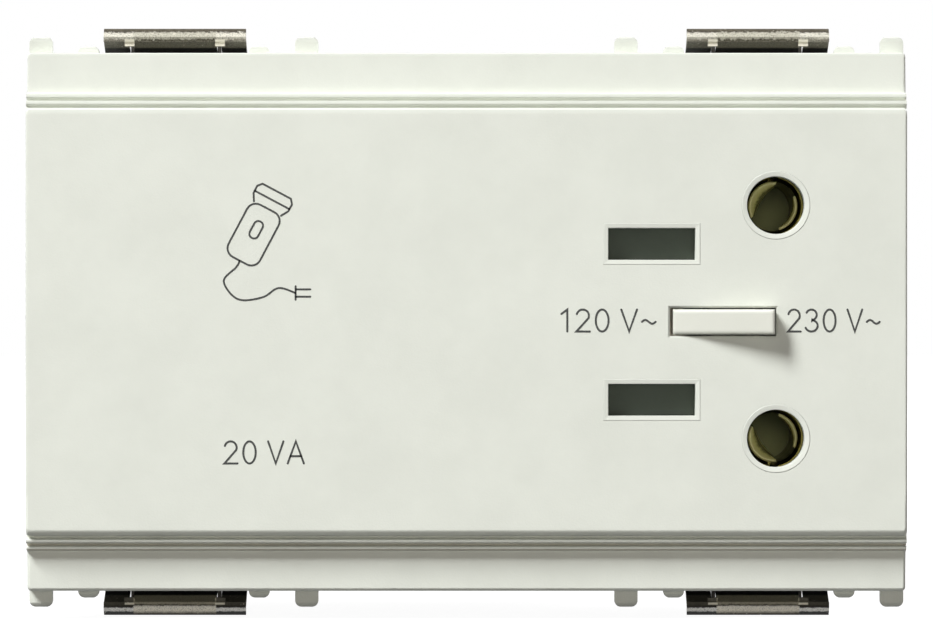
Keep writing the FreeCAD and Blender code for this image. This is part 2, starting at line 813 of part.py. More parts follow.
def contact_carrier():
    """A block with pockets for both contacts and a channel for the switch."""
    body = box(carrier_left, carrier_right, carrier_front, carrier_rear, -carrier_half_height, carrier_half_height)
    body = rounded(body, carrier_corner, lambda b: b.YLength > carrier_rear)
    channel = switch_half_length + switch_gap
    channel_z = switch_half_height + switch_gap
    cuts = [spring_groove(),
            box(rocker_x - channel, rocker_x + channel, carrier_front - over, carrier_rear + over, -channel_z, channel_z)]
    wall_rear = carrier_front + carrier_front_wall
    z = blade_pitch / 2
    half_z = fork_mouth / 2 + fork_tip + pocket_gap
    half_x = fork_width / 2 + pocket_gap
    pocket = box(blade_x - half_x, blade_x + half_x, wall_rear, carrier_rear + over, z - half_z, z + half_z)
    mouth = box(blade_x - slot_length / 2 - slip, blade_x + slot_length / 2 + slip, carrier_front - over, wall_rear + skin,
                z - slot_height / 2 - slip, z + slot_height / 2 + slip)
    round_pocket = rod_y(pin_x, pin_pitch / 2, barrel_bore / 2 + barrel_wall + pocket_gap, wall_rear, carrier_rear + over)
    round_mouth = rod_y(pin_x, pin_pitch / 2, pin_hole_diameter / 2 + slip, carrier_front - over, wall_rear + skin)
    seat = strip_outline(pocket_gap, strip_seat - skin, carrier_rear + over)
    for cut in (pocket, mouth, round_pocket, round_mouth, seat):
        cuts += [cut, mirror_down(cut)]
    relief_x = rocker_x + channel + relief_wall + switch_gap
    relief_ends = (carrier_front + relief_front, carrier_rear - relief_rear)
    relief = box(relief_x, carrier_right + over, *relief_ends, -relief_half_height, relief_half_height)
    edge = box(relief_x, carrier_right + over, *relief_ends, carrier_half_height - relief_side, carrier_half_height + over)
    cuts += [relief, edge, mirror_down(edge)]
    for x in (carrier_screw_left, carrier_screw_right):
        clear = rod_y(x, carrier_screw_z, cover_boss_radius + cover_boss_gap, carrier_front - over, carrier_rear + over)
        cuts += [clear, mirror_down(clear)]
    return body.cut(cuts).removeSplitter()


def carrier_backplate():
    """The plate that closes the carrier and is screwed to the cover's bosses."""
    body = box(carrier_left, carrier_right, carrier_rear, backplate_rear, -backplate_half_height, backplate_half_height)
    body = rounded(body, backplate_corner, lambda b: b.YLength > backplate_thickness - skin)
    cuts = []
    for side in (-1, 1):
        z = side * blade_pitch / 2
        lug_half_x = lug_width / 2 + lug_gap
        lug_half_z = brass_sheet / 2 + lug_gap
        cuts.append(box(lug_x - lug_half_x, lug_x + lug_half_x, carrier_rear - over, backplate_rear + over,
                        z - lug_half_z, z + lug_half_z))
        for x in (carrier_screw_left, carrier_screw_right):
            cuts.append(rod_y(x, side * carrier_screw_z, carrier_screw_diameter / 2 + carrier_screw_hole_gap,
                              carrier_rear - over, backplate_rear + over))
    for x in (rocker_x, pad_centre(1), pad_centre(-1)):
        half = tail_width / 2 + tail_gap
        slot = brass_sheet / 2 + tail_gap
        cuts.append(box(x - slot, x + slot, carrier_rear - over, backplate_rear + over, -half, half))
    ribs = []
    for side in (-1, 1):
        z = side * blade_pitch / 2
        ribs.append(box(blade_x - strip_rib_half_length, blade_x + strip_rib_half_length,
                        strip_seat + brass_sheet + fit, carrier_rear + slip,
                        z - strip_rib_half_height, z + strip_rib_half_height))
    return body.fuse(ribs).cut(cuts).removeSplitter()


def carrier_screws():
    """Four small screws through the back plate, kept together as one group."""
    rear = backplate_rear
    screws = []
    for x in (carrier_screw_left, carrier_screw_right):
        for z in (-carrier_screw_z, carrier_screw_z):
            shank = rod_y(x, z, carrier_screw_diameter / 2 - fit / 2, carrier_rear - carrier_screw_length + over, rear)
            head = rod_y(x, z, carrier_screw_head / 2, rear, rear + carrier_screw_head_height)
            head = rounded(head, terminal_head_radius, lambda b: b.YMin > rear + carrier_screw_head_height - skin)
            slot = box(x - carrier_screw_head / 2, x + carrier_screw_head / 2, rear + carrier_screw_slot_depth,
                       rear + 2 * carrier_screw_head_height, z - carrier_screw_slot / 2, z + carrier_screw_slot / 2)
            screws.append(shank.fuse(head).cut(slot))
    return Part.makeCompound(screws)


# Transformer

def core_plan(x0, x1, z0, z1):
    return box(x0, x1, core_front, core_front + core_stack, z0, z1)


def core_e_stack():
    """E laminations with the back of the E at the bottom."""
    bottom = -core_height / 2
    top = core_height / 2 - core_leg
    body = core_plan(core_left, core_right, bottom, top)
    for side in (-1, 1):
        body = body.cut(core_plan(core_x + side * core_leg, core_x + side * window_outer, bottom + core_leg, top + over))
    return body


def core_i_stack():
    return core_plan(core_left, core_right, core_height / 2 - core_leg, core_height / 2)


def ring_z(inner_x, inner_y, outer_x, outer_y, z0, z1, corner):
    """A rectangular ring around the core's middle leg, with rounded outer corners."""
    y = core_middle
    outer = box(core_x - outer_x, core_x + outer_x, y - outer_y, y + outer_y, z0, z1)
    if corner:
        outer = rounded(outer, corner, lambda b: b.ZLength > z1 - z0 - skin / 2 and b.XLength < skin)
    inner = box(core_x - inner_x, core_x + inner_x, y - inner_y, y + inner_y, z0 - over, z1 + over)
    return outer.cut(inner)


def coil_limits():
    """Half sizes of the bobbin tube's hole and outside, and of the coil's outside."""
    hole_x = core_leg + bobbin_gap
    hole_y = core_stack / 2 + bobbin_gap
    tube_x = hole_x + bobbin_wall
    tube_y = hole_y + bobbin_wall
    return hole_x, hole_y, tube_x, tube_y, tube_x + coil_thickness, tube_y + coil_thickness


def window_half_height():
    return (core_height - 2 * core_leg) / 2


def bobbin():
    """A two-chamber bobbin: tube, two end flanges and a middle flange."""
    hole_x, hole_y, tube_x, tube_y, coil_x, coil_y = coil_limits()
    top = window_half_height() - bobbin_gap
    body = ring_z(hole_x, hole_y, tube_x, tube_y, -top, top, 0)
    for z in (-top, -bobbin_wall / 2, top - bobbin_wall):
        body = body.fuse(ring_z(hole_x, hole_y, coil_x + flange_side, coil_y + flange_rim, z, z + bobbin_wall,
                                flange_corner))
    return body.removeSplitter()


def winding(z0, z1):
    hole_x, hole_y, tube_x, tube_y, coil_x, coil_y = coil_limits()
    return ring_z(tube_x, tube_y, coil_x, coil_y, z0, z1, coil_corner)


def chamber(side):
    """Lowest and highest z of the upper (+1) or lower (-1) winding chamber."""
    low = bobbin_wall / 2
    high = window_half_height() - bobbin_gap - bobbin_wall
    return (low, high) if side > 0 else (-high, -low)


def winding_tape():
    """A band of tape round the front and back of each winding."""
    hole_x, hole_y, tube_x, tube_y, coil_x, coil_y = coil_limits()
    bands = []
    for side in (-1, 1):
        low, high = chamber(side)
        middle = (low + high) / 2
        bands.append(ring_z(coil_x, coil_y, coil_x + tape_thickness, coil_y + tape_thickness,
                            middle - tape_height / 2, middle + tape_height / 2, 0))
    return Part.makeCompound(bands)


def thermal_cutout():
    """A flat overload protector against the front of the lower winding."""
    hole_x, hole_y, tube_x, tube_y, coil_x, coil_y = coil_limits()
    rear = core_middle - coil_y - tape_thickness - fit
    low, high = chamber(-1)
    z = (low + high) / 2
    body = box(core_x - cutout_length / 2, core_x + cutout_length / 2, rear - cutout_thickness, rear,
               z - cutout_height / 2, z + cutout_height / 2)
    body = rounded(body, cutout_corner, lambda b: b.YLength > cutout_thickness - skin)
    tab_rear = rear - cutout_tab_rear
    reach = cutout_length / 2 + cutout_tab_reach
    tab = box(core_x - reach, core_x + reach, tab_rear - cutout_tab_sheet, tab_rear,
              z - cutout_tab_width / 2, z + cutout_tab_width / 2)
    return body.fuse(tab)


def insulating_partition():
    """The sheet that keeps the supply side apart from the transformer's secondary side."""
    x1 = step_x - housing_wall + sheet_thickness
    return box(x1 - sheet_thickness, x1, sheet_front, terminal_depth - housing_wall - slip,
               -housing_inner_z + slip, housing_inner_z - slip)


# Supply terminals, for the upper one; the lower one is its mirror image

def terminal_cage():
    """A box frame whose rear wall is tapped for the screw."""
    x0 = terminal_x - cage_length / 2
    x1 = terminal_x + cage_length / 2
    z0 = terminal_z - cage_height / 2
    z1 = terminal_z + cage_height / 2
    body = box(x0, x1, cage_front, cage_rear, z0, z1)
    body = rounded(body, cage_corner, lambda b: b.XLength > cage_length - skin)
    body = body.cut(box(x0 - over, x1 + over, cage_front + cage_wall, cage_rear - cage_nut_thickness,
                        z0 + cage_wall, z1 - cage_wall))
    return body.cut(rod_y(terminal_x, terminal_z, terminal_screw_diameter / 2 + fit,
                          cage_rear - cage_nut_thickness - over, cage_rear + over))


def terminal_screw():
    """A slotted screw whose tip bears on the current bar."""
    tip = bar_front + bar_thickness + fit
    shank = rod_y(terminal_x, terminal_z, terminal_screw_diameter / 2, tip, terminal_head_seat)
    rear = terminal_head_seat + terminal_head_height
    head = rod_y(terminal_x, terminal_z, terminal_head_diameter / 2, terminal_head_seat, rear)
    head = rounded(head, terminal_head_radius, lambda b: b.YMin > rear - skin)
    reach = terminal_head_diameter
    slot = box(terminal_x - reach, terminal_x + reach, rear - driver_slot_depth, rear + over,
               terminal_z - driver_slot / 2, terminal_z + driver_slot / 2)
    return shank.fuse(head).cut(slot).removeSplitter()


def terminal_bar():
    """The fixed current bar that the wire is pressed against, with a solder tail."""
    z0 = terminal_z - bar_height / 2
    bar = box(bar_left, terminal_x + cage_length / 2, bar_front, bar_front + bar_thickness, z0, z0 + bar_height)
    tail = box(bar_left, bar_left + bar_thickness, bar_front - bar_tail_length, bar_front,
               terminal_z - bar_tail_width / 2, terminal_z + bar_tail_width / 2)
    return bar.fuse(tail)


# Housing

def terminal_well():
    """Solid and cuts of the moulded well round one terminal."""
    inner_x = cage_length / 2 + cage_gap
    inner_z = cage_height / 2 + cage_gap
    solid = box(terminal_x - inner_x - well_wall, housing_inner_x + slip, well_front, terminal_depth - housing_wall + slip,
                terminal_z - inner_z - well_wall, terminal_z + inner_z + well_wall)
    wire_y = (cage_front + cage_wall + bar_front) / 2
    half = wire_hole / 2
    outside = skirt_width / 2
    wide = half + wire_funnel
    points = [[vec(outside + skin - depth, wire_y + a * size, terminal_z + b * size)
               for a, b in ((-1, -1), (1, -1), (1, 1), (-1, 1))]
              for depth, size in ((0, wide), (wire_funnel, half))]
    funnel = Part.makeLoft([Part.makePolygon(p + p[:1]) for p in points], True)
    cuts = [
        box(terminal_x - inner_x, terminal_x + inner_x, well_front - over, well_ledge,
            terminal_z - inner_z, terminal_z + inner_z),
        rod_y(terminal_x, terminal_z, terminal_screw_diameter / 2 + screw_gap, well_ledge - over, terminal_depth),
        rod_y(terminal_x, terminal_z, well_head_diameter / 2, terminal_head_seat, terminal_depth + over),
        box(terminal_x, outside + over, wire_y - half, wire_y + half, terminal_z - half, terminal_z + half),
        box(bar_left, terminal_x, well_front - over, bar_front + bar_thickness + slip,
            terminal_z - bar_height / 2 - slip, terminal_z + bar_height / 2 + slip),
        funnel,
    ]
    return solid, cuts


def clip_seat(x):
    """Rails and a stud on the housing's top that hold one clip."""
    top = skirt_height / 2
    half = clip_width / 2 + clip_rail_gap
    adds = []
    for side in (-1, 1):
        inner = x + side * half
        outer = inner + side * clip_rail_width
        adds.append(box(inner, outer, housing_front + clip_rail_start, clip_rear_y + clip_rail_end,
                        top - root / 2, top + clip_rail_height))
    front = clip_stud_y - clip_stud_length / 2
    high = top + clip_rail_height
    stud = box(x - clip_stud_width / 2, x + clip_stud_width / 2, front, front + clip_stud_length, top - root / 2, high)
    stud = stud.cut(along_x(*polygon([(front, top + clip_sheet + slip), (front, high + slip), (clip_stud_y, high + slip)]),
                            x - clip_stud_width, x + clip_stud_width))
    return adds + [stud]


def rear_housing():
    """The deep box, open to the front, stepped down behind the terminals."""
    half_x = skirt_width / 2
    half_z = skirt_height / 2
    outer = box(-half_x, half_x, housing_front, terminal_depth, -half_z, half_z)
    deep = box(-half_x, step_x, housing_front, housing_depth, -half_z, half_z)
    body = outer.fuse(deep).removeSplitter()
    body = rounded(body, housing_corner,
                   lambda b: b.YLength > skirt_depth and b.XLength < skin and abs(b.XMin) > half_x - skin)
    body = rounded(body, housing_rear_radius,
                   lambda b: b.YMin > terminal_depth - skin and b.YLength < skin
                   and not (abs(b.XMin - step_x) < skin and abs(b.XMax - step_x) < skin
                            and b.YMax < housing_depth - skin))

    inner_end = terminal_depth - housing_wall
    body = body.cut(box(-housing_inner_x, step_x - housing_wall, housing_front - over, housing_depth - housing_wall,
                        -housing_inner_z, housing_inner_z))
    body = body.cut(box(step_x - housing_wall - skin, housing_inner_x, housing_front - over, inner_end,
                        -housing_inner_z, housing_inner_z))

    tongue_out = skirt_inner_z - housing_gap
    tongue_rear = housing_front + tongue_root
    tongue = box(-tongue_half_width, tongue_half_width, housing_front - tongue_length, tongue_rear,
                 tongue_out - tongue_wall, tongue_out)
    tongue = tongue.fuse(box(-tongue_half_width, tongue_half_width, housing_front, tongue_rear,
                             tongue_out - tongue_wall, housing_inner_z + root / 2))
    for x in (carrier_screw_left, carrier_screw_right):
        tongue = tongue.cut(box(x - tongue_screw_room, x + tongue_screw_room, 0, tongue_rear + over, 0, half_z + over))
    adds = [tongue, mirror_down(tongue)]

    core_edge_z = core_height / 2 + core_gap
    core_rear = core_front + core_stack + core_gap
    wall_z = housing_inner_z + slip
    rail_end = housing_depth - housing_wall + root
    for x in (core_x - rail_offset, core_x, core_x + rail_offset):
        rail = box(x - rail_half_width, x + rail_half_width, core_front, rail_end, core_edge_z, wall_z)
        adds += [rail, mirror_down(rail)]
    for x in (core_left + stop_half_width, core_right - stop_half_width):
        stop = box(x - stop_half_width, x + stop_half_width, core_rear, rail_end, core_edge_z - stop_height, wall_z)
        adds += [stop, mirror_down(stop)]
    sheet_left = step_x - housing_wall
    for x0 in (sheet_left - slip - sheet_guide, sheet_left + sheet_thickness + slip):
        guide = box(x0, x0 + sheet_guide, sheet_front + over, inner_end, housing_inner_z - sheet_guide_height, wall_z)
        adds += [guide, mirror_down(guide)]

    well, well_cuts = terminal_well()
    adds += [well, mirror_down(well)]
    for x in (-clip_offset, clip_offset):
        for piece in clip_seat(x):
            adds += [piece, mirror_down(piece)]
    body = body.fuse(adds)

    cuts = []
    for cut in well_cuts:
        cuts += [cut, mirror_down(cut)]
    for side in (-1, 1):
        for z in (-arm_z, arm_z):
            cuts.append(box(side * (housing_inner_x - hook_window_depth), side * (half_x + over), hook_front - hook_gap,
                            arm_rear + hook_gap, z - arm_width / 2 - arm_side_gap, z + arm_width / 2 + arm_side_gap))
    return body.cut(cuts).removeSplitter()


# Clips

def clip_section(setback, x0, x1):
    """The ramp from the clip's foot to its ridge, as a strip of sheet."""
    foot = clip_foot_z
    start_y = clip_root_y + clip_bend
    ridge_y = clip_ridge_y + setback
    bend_y = clip_root_y + setback / 2
    points = [(start_y, foot), (bend_y, foot), (ridge_y, clip_ridge_z - clip_sheet),
              (ridge_y, clip_ridge_z), (ridge_y + clip_sheet, clip_ridge_z + fit),
              (bend_y + clip_sheet / 2, foot + clip_sheet), (start_y, foot + clip_sheet)]
    return along_x(*polygon(points), x0, x1)


def clip(x):
    """A top clip: foot on the housing, sprung ramp with a middle tongue, turned lip."""
    foot = clip_foot_z
    half = clip_width / 2
    tongue = clip_tongue_width / 2
    ridge = clip_ridge_z
    plate = box(x - half, x + half, clip_root_y + clip_bend / 2, clip_rear_y, foot, foot + clip_sheet)
    turned_half = half - clip_turned_inset
    turned = box(x - turned_half, x + turned_half, clip_rear_y - clip_sheet, clip_rear_y, foot, foot + clip_turned_height)
    lip = along_x(*polygon([(clip_ridge_y, ridge - clip_sheet), (clip_ridge_y - 0.12, ridge),
                            (clip_ridge_y + 0.1, ridge + 0.3), (clip_lip_y - 0.2, clip_reach),
                            (clip_lip_y + 0.1, clip_reach - 0.3), (clip_ridge_y + clip_sheet + 0.1, ridge - 0.1),
                            (clip_ridge_y + 0.9, ridge - clip_sheet)]), x - half, x + half)
    middle = clip_section(0, x - tongue, x + tongue)
    legs = []
    for side in (-1, 1):
        inner = x + side * (tongue + clip_slit)
        legs.append(clip_section(clip_leg_setback, min(inner, x + side * half), max(inner, x + side * half)))
        tab = along_x(*polygon([(clip_ridge_y + 0.15, ridge - 0.2), (clip_ridge_y + 0.15, ridge - 0.75),
                                (clip_ridge_y + 1.4, ridge - 0.75), (clip_ridge_y + 1.4, ridge - 0.2)]),
                      x + side * (tongue - 0.1), x + side * (tongue + 0.75))
        legs.append(tab)
    body = plate.fuse([turned, lip, middle] + legs)
    hole_x = clip_stud_width / 2 + clip_hole_gap
    hole_y = clip_stud_length / 2 + clip_hole_gap
    hole = box(x - hole_x, x + hole_x, clip_stud_y - hole_y, clip_stud_y + hole_y, foot - over, foot + clip_rise)
    return body.cut(hole).removeSplitter()


def save(name, shape):
    if not shape.isValid():
        print("not valid:", name)
    shape.exportStep(os.path.join("parts", name + ".step"))


def main():
    save("front_cover", front_cover())
    save("rear_housing", rear_housing())
    for name, x in (("left", -clip_offset), ("right", clip_offset)):
        piece = clip(x)
        save("clip_top_" + name, piece)
        save("clip_bottom_" + name, mirror_down(piece))
    save("selector_rocker", selector_rocker())
    save("switch_base", switch_base())
    save("switch_slider", switch_slider())
    save("switch_bridge", switch_bridge())
    save("detent_spring", detent_spring())
    side_half = (pad_outer_edge() - pad_inner_edge) / 2
    save("switch_contact_120", fixed_contact(pad_centre(1), side_half))
    save("switch_contact_230", fixed_contact(pad_centre(-1), side_half))
    save("switch_common", fixed_contact(rocker_x, common_half_length))
    save("shutter", shutter())
    save("shutter_spring", shutter_spring())
    upper = contact()
    save("contact_upper", upper)
    save("contact_lower", mirror_down(upper))
    save("contact_carrier", contact_carrier())
    save("carrier_backplate", carrier_backplate())
    save("carrier_screws", carrier_screws())
    save("core_e_stack", core_e_stack())
    save("core_i_stack", core_i_stack())
    save("bobbin", bobbin())
    save("primary_winding", winding(*chamber(-1)))
    save("secondary_winding", winding(*chamber(1)))
    save("winding_tape", winding_tape())
    save("thermal_cutout", thermal_cutout())
    save("insulating_partition", insulating_partition())
    for name, place in (("l", lambda shape: shape), ("n", mirror_down)):
        save("terminal_cage_" + name, place(terminal_cage()))
        save("terminal_screw_" + name, place(terminal_screw()))
        save("terminal_bar_" + name, place(terminal_bar()))


main()
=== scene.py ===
import math

import bmesh
import bpy
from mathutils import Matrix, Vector


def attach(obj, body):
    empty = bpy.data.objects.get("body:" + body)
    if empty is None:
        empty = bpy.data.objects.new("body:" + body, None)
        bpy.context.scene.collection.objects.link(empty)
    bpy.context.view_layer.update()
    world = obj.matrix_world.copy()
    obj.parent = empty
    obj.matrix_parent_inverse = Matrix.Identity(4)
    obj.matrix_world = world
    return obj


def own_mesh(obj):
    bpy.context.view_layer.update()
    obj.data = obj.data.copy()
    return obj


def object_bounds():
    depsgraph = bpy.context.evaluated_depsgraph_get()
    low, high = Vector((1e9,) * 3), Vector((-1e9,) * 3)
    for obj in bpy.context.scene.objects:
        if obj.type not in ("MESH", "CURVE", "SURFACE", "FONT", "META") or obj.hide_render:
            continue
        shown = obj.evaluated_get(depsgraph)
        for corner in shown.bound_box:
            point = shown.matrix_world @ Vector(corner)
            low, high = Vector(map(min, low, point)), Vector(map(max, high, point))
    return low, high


# A three-module shaver socket with a voltage selector, seen straight from the front.
# Lengths are millimetres and become metres where a mesh or a texture is made. Only the floor, the
# lamps and the camera's distance are given in metres.
# X runs to the right along the face, Y into the wall and Z up; the face's middle is at x 0, z 0.

MM = 0.001

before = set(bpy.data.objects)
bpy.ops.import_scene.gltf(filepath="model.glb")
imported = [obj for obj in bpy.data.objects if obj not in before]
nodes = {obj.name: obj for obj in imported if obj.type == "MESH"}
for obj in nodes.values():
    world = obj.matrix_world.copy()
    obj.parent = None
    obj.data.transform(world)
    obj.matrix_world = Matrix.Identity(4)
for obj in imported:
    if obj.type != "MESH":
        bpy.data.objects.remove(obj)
cad_low, cad_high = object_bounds()

scene = bpy.context.scene
scene.view_settings.view_transform = "Standard"


# Colours and node helpers

def srgb(red, green, blue):
    """A colour written as on a screen, 0 to 255, as a linear one."""
    made = []
    for value in (red, green, blue):
        v = value / 255
        made.append(v / 12.92 if v <= 0.04045 else ((v + 0.055) / 1.055) ** 2.4)
    return (*made, 1.0)


class Finish:
    """A material with one shader, and short ways to give it grain, spots and bands."""

    def __init__(self, name, colour, roughness, metallic=0.0):
        self.material = bpy.data.materials.new(name)
        self.material.use_nodes = True
        self.tree = self.material.node_tree
        self.shader = self.tree.nodes["Principled BSDF"]
        self.shader.inputs["Base Color"].default_value = colour
        self.shader.inputs["Roughness"].default_value = roughness
        self.shader.inputs["Metallic"].default_value = metallic
        self.place = self.tree.nodes.new("ShaderNodeTexCoord")
        self.normal = None

    def link(self, source, target):
        self.tree.links.new(source, target)

    def feed(self, source, target):
        """A fixed value or another node's output goes into an input."""
        if isinstance(source, (tuple, float, int)):
            target.default_value = source
        else:
            self.link(source, target)

    def noise(self, size, detail=3.0, rough=0.5, stretch=(1, 1, 1)):
        """Noise whose spots are about size millimetres wide."""
        stretched = self.tree.nodes.new("ShaderNodeMapping")
        stretched.inputs["Scale"].default_value = stretch
        self.link(self.place.outputs["Object"], stretched.inputs["Vector"])
        node = self.tree.nodes.new("ShaderNodeTexNoise")
        node.inputs["Scale"].default_value = 1 / (size * MM)
        node.inputs["Detail"].default_value = detail
        node.inputs["Roughness"].default_value = rough
        self.link(stretched.outputs["Vector"], node.inputs["Vector"])
        return node.outputs["Fac"]

    def stripes(self, direction, profile, pitch, distortion=0.0):
        """Even stripes across a direction, about one every pitch millimetres."""
        node = self.tree.nodes.new("ShaderNodeTexWave")
        node.wave_type = "BANDS"
        node.bands_direction = direction
        node.wave_profile = profile
        node.inputs["Scale"].default_value = 1 / (pitch * MM) / 20 * math.pi
        node.inputs["Distortion"].default_value = distortion
        self.link(self.place.outputs["Object"], node.inputs["Vector"])
        return node.outputs["Fac"]

    def ramp(self, source, *stops):
        """A colour ramp; each stop is (place, colour)."""
        node = self.tree.nodes.new("ShaderNodeValToRGB")
        while len(node.color_ramp.elements) < len(stops):
            node.color_ramp.elements.new(0.5)
        for element, (place, colour) in zip(node.color_ramp.elements, stops):
            element.position = place
            element.color = colour if isinstance(colour, tuple) else (colour, colour, colour, 1)
        self.link(source, node.inputs["Fac"])
        return node.outputs["Color"]

    def mix(self, factor, first, second, blend="MIX"):
        """Two colours, each an output or a fixed colour, mixed by a factor."""
        node = self.tree.nodes.new("ShaderNodeMix")
        node.data_type = "RGBA"
        node.blend_type = blend
        self.feed(factor, node.inputs[0])
        self.feed(first, node.inputs[6])
        self.feed(second, node.inputs[7])
        return node.outputs[2]

    def mix_directions(self, factor, first, second):
        """Two directions mixed by a factor."""
        node = self.tree.nodes.new("ShaderNodeMix")
        node.data_type = "VECTOR"
        self.feed(factor, node.inputs[0])
        self.feed(first, node.inputs[4])
        self.feed(second, node.inputs[5])
        return node.outputs[1]

    def calc(self, operation, first, second=0.0):
        node = self.tree.nodes.new("ShaderNodeMath")
        node.operation = operation
        self.feed(first, node.inputs[0])
        self.feed(second, node.inputs[1])
        return node.outputs[0]

    def axis(self, name):
        """One coordinate of the surface point, in millimetres."""
        node = self.tree.nodes.new("ShaderNodeSeparateXYZ")
        self.link(self.place.outputs["Object"], node.inputs[0])
        return self.calc("MULTIPLY", node.outputs[name], 1000.0)

    def band(self, value, start, end):
        """0 where value is below start, 1 above end."""
        node = self.tree.nodes.new("ShaderNodeMapRange")
        node.inputs["From Min"].default_value = start
        node.inputs["From Max"].default_value = end
        self.link(value, node.inputs["Value"])
        return node.outputs["Result"]

    def within(self, value, low, high, soft=0.03):
        """1 between two values and 0 outside them, with soft ends."""
        above = self.band(value, low - soft, low + soft)
        past = self.band(value, high - soft, high + soft)
        return self.calc("MULTIPLY", above, self.calc("SUBTRACT", 1.0, past))

    def frontal(self, start, end):
        """0 where the surface faces the front by less than start, 1 above end."""
        geometry = self.tree.nodes.new("ShaderNodeNewGeometry")
        parts = self.tree.nodes.new("ShaderNodeSeparateXYZ")
        self.link(geometry.outputs["True Normal"], parts.inputs[0])
        return self.band(self.calc("MULTIPLY", parts.outputs["Y"], -1.0), start, end)

    def paint(self, source):
        self.link(source, self.shader.inputs["Base Color"])

    def gloss(self, source, low, high):
        """Roughness that runs from low to high with the source."""
        node = self.tree.nodes.new("ShaderNodeMapRange")
        node.inputs["To Min"].default_value = low
        node.inputs["To Max"].default_value = high
        self.link(source, node.inputs["Value"])
        self.link(node.outputs["Result"], self.shader.inputs["Roughness"])

    def bump(self, source, height):
        """Relief of the given height in millimetres, on top of any relief before it."""
        node = self.tree.nodes.new("ShaderNodeBump")
        node.inputs["Strength"].default_value = 1.0
        node.inputs["Distance"].default_value = height * MM
        self.link(source, node.inputs["Height"])
        if self.normal:
            self.link(self.normal, node.inputs["Normal"])
        self.normal = node.outputs["Normal"]
        self.link(self.normal, self.shader.inputs["Normal"])


def mottled(finish, first, second, size, low=0.35, high=0.65):
    """Two close colours in soft patches."""
    spots = finish.noise(size, 4.0, 0.6)
    finish.paint(finish.ramp(spots, (low, first), (high, second)))
    return spots


# Moulded plastics

bevel_samples = 6
# How far a face must look to the front, as a share, to count as the panel or as an opening's lip
panel_slope = (0.93, 0.96)
lip_slope = (0.55, 0.66)
# Heights above which the lips, and then the pegs, begin
lips_from = (-15.0, -14.0)
pegs_from = (22.0, 22.1)
panel_direction = (0, -1, 0)
peg_direction = (0.08, -1, -0.08)


def soft_edges(finish, radius, flatten=0.0, lips=0.0):
    """Edges shade as if rounded to a radius in millimetres.

    Faces that look almost straight to the front can be shaded a share flatter than they are, and so
    can the sloped lips of the openings and the upper beads.
    """
    edge = finish.tree.nodes.new("ShaderNodeBevel")
    edge.samples = bevel_samples
    edge.inputs["Radius"].default_value = radius * MM
    finish.normal = edge.outputs["Normal"]
    if not flatten:
        return
    height = finish.axis("Z")
    upper_lips = finish.calc("MULTIPLY", finish.frontal(*lip_slope), finish.band(height, *lips_from))
    share = finish.calc("MAXIMUM", finish.calc("MULTIPLY", finish.frontal(*panel_slope), flatten),
                        finish.calc("MULTIPLY", upper_lips, lips))
    aim = finish.mix_directions(finish.band(height, *pegs_from), panel_direction, peg_direction)
    unit = finish.tree.nodes.new("ShaderNodeVectorMath")
    unit.operation = "NORMALIZE"
    finish.link(finish.mix_directions(share, edge.outputs["Normal"], aim), unit.inputs[0])
    finish.normal = unit.outputs[0]


plastic_ior = 1.48
patch_size = 6.0


def moulded_plastic(name, light, dark, roughness, grain=0.16, relief=0.012, edge=0.1, flatten=0.0, lips=0.0):
    """Injection moulded plastic with a spark-eroded grain."""
    finish = Finish(name, light, roughness)
    soft_edges(finish, edge, flatten, lips)
    mottled(finish, dark, light, patch_size)
    fine = finish.noise(grain, 3.0, 0.6)
    finish.gloss(fine, roughness - 0.06, roughness + 0.08)
    finish.bump(fine, relief)
    finish.bump(finish.noise(grain * 14, 2.0, 0.5), relief * 1.5)
    finish.shader.inputs["IOR"].default_value = plastic_ior
    return finish


cover_light = srgb(231, 235, 226)
cover_dark = srgb(226, 230, 221)
cover_roughness = 0.46
# Painted shade: a darker colour in two of the lower grooves
groove_shade = srgb(204, 200, 188)
shaded_grooves = ((-18.26, -18.10), (-18.68, -18.52))


def cover_with_groove_shade():
    """The cover's plastic, with painted shade that darkens two of the lower grooves."""
    finish = moulded_plastic("cover_plastic", cover_light, cover_dark, cover_roughness,
                             edge=0.22, flatten=0.93, lips=0.76)
    height = finish.axis("Z")
    first, second = [finish.within(height, *groove) for groove in shaded_grooves]
    # Painted shade in the two lower grooves, on faces that look partly to the front
    groove_shade_mask = finish.calc("MULTIPLY", finish.calc("MAXIMUM", first, second), finish.frontal(0.05, 0.15))
    unshaded = finish.shader.inputs["Base Color"].links[0].from_socket
    finish.paint(finish.mix(groove_shade_mask, unshaded, groove_shade))
    return finish


dull_specular = 0.25
cover_plastic = cover_with_groove_shade()
lip_plastic = moulded_plastic("lip_plastic", cover_light, cover_dark, cover_roughness, edge=0.08)
rocker_plastic = moulded_plastic("rocker_plastic", srgb(221, 223, 213), srgb(217, 219, 209), 0.40,
                                 grain=0.12, relief=0.006, edge=0.4)
housing_plastic = moulded_plastic("housing_plastic", srgb(205, 207, 200), srgb(198, 200, 193), 0.5,
                                  grain=0.22, relief=0.02)
base_plastic = moulded_plastic("base_plastic", srgb(58, 56, 52), srgb(48, 46, 43), 0.5, 0.2, 0.014)
shutter_plastic = moulded_plastic("shutter_plastic", srgb(72, 80, 71), srgb(66, 74, 65), 0.5, 0.2, 0.008)
shutter_plastic.shader.inputs["Specular IOR Level"].default_value = dull_specular
carrier_plastic = moulded_plastic("carrier_plastic", srgb(62, 66, 54), srgb(54, 58, 47), 0.5, 0.2, 0.014)
backplate_plastic = moulded_plastic("backplate_plastic", srgb(148, 158, 90), srgb(134, 144, 80), 0.5,
                                    0.2, 0.014)
switch_plastic = moulded_plastic("switch_plastic", srgb(196, 194, 184), srgb(186, 184, 174), 0.5, 0.2, 0.014)
slider_plastic = moulded_plastic("slider_plastic", srgb(214, 212, 202), srgb(206, 204, 194), 0.42, 0.2, 0.01)
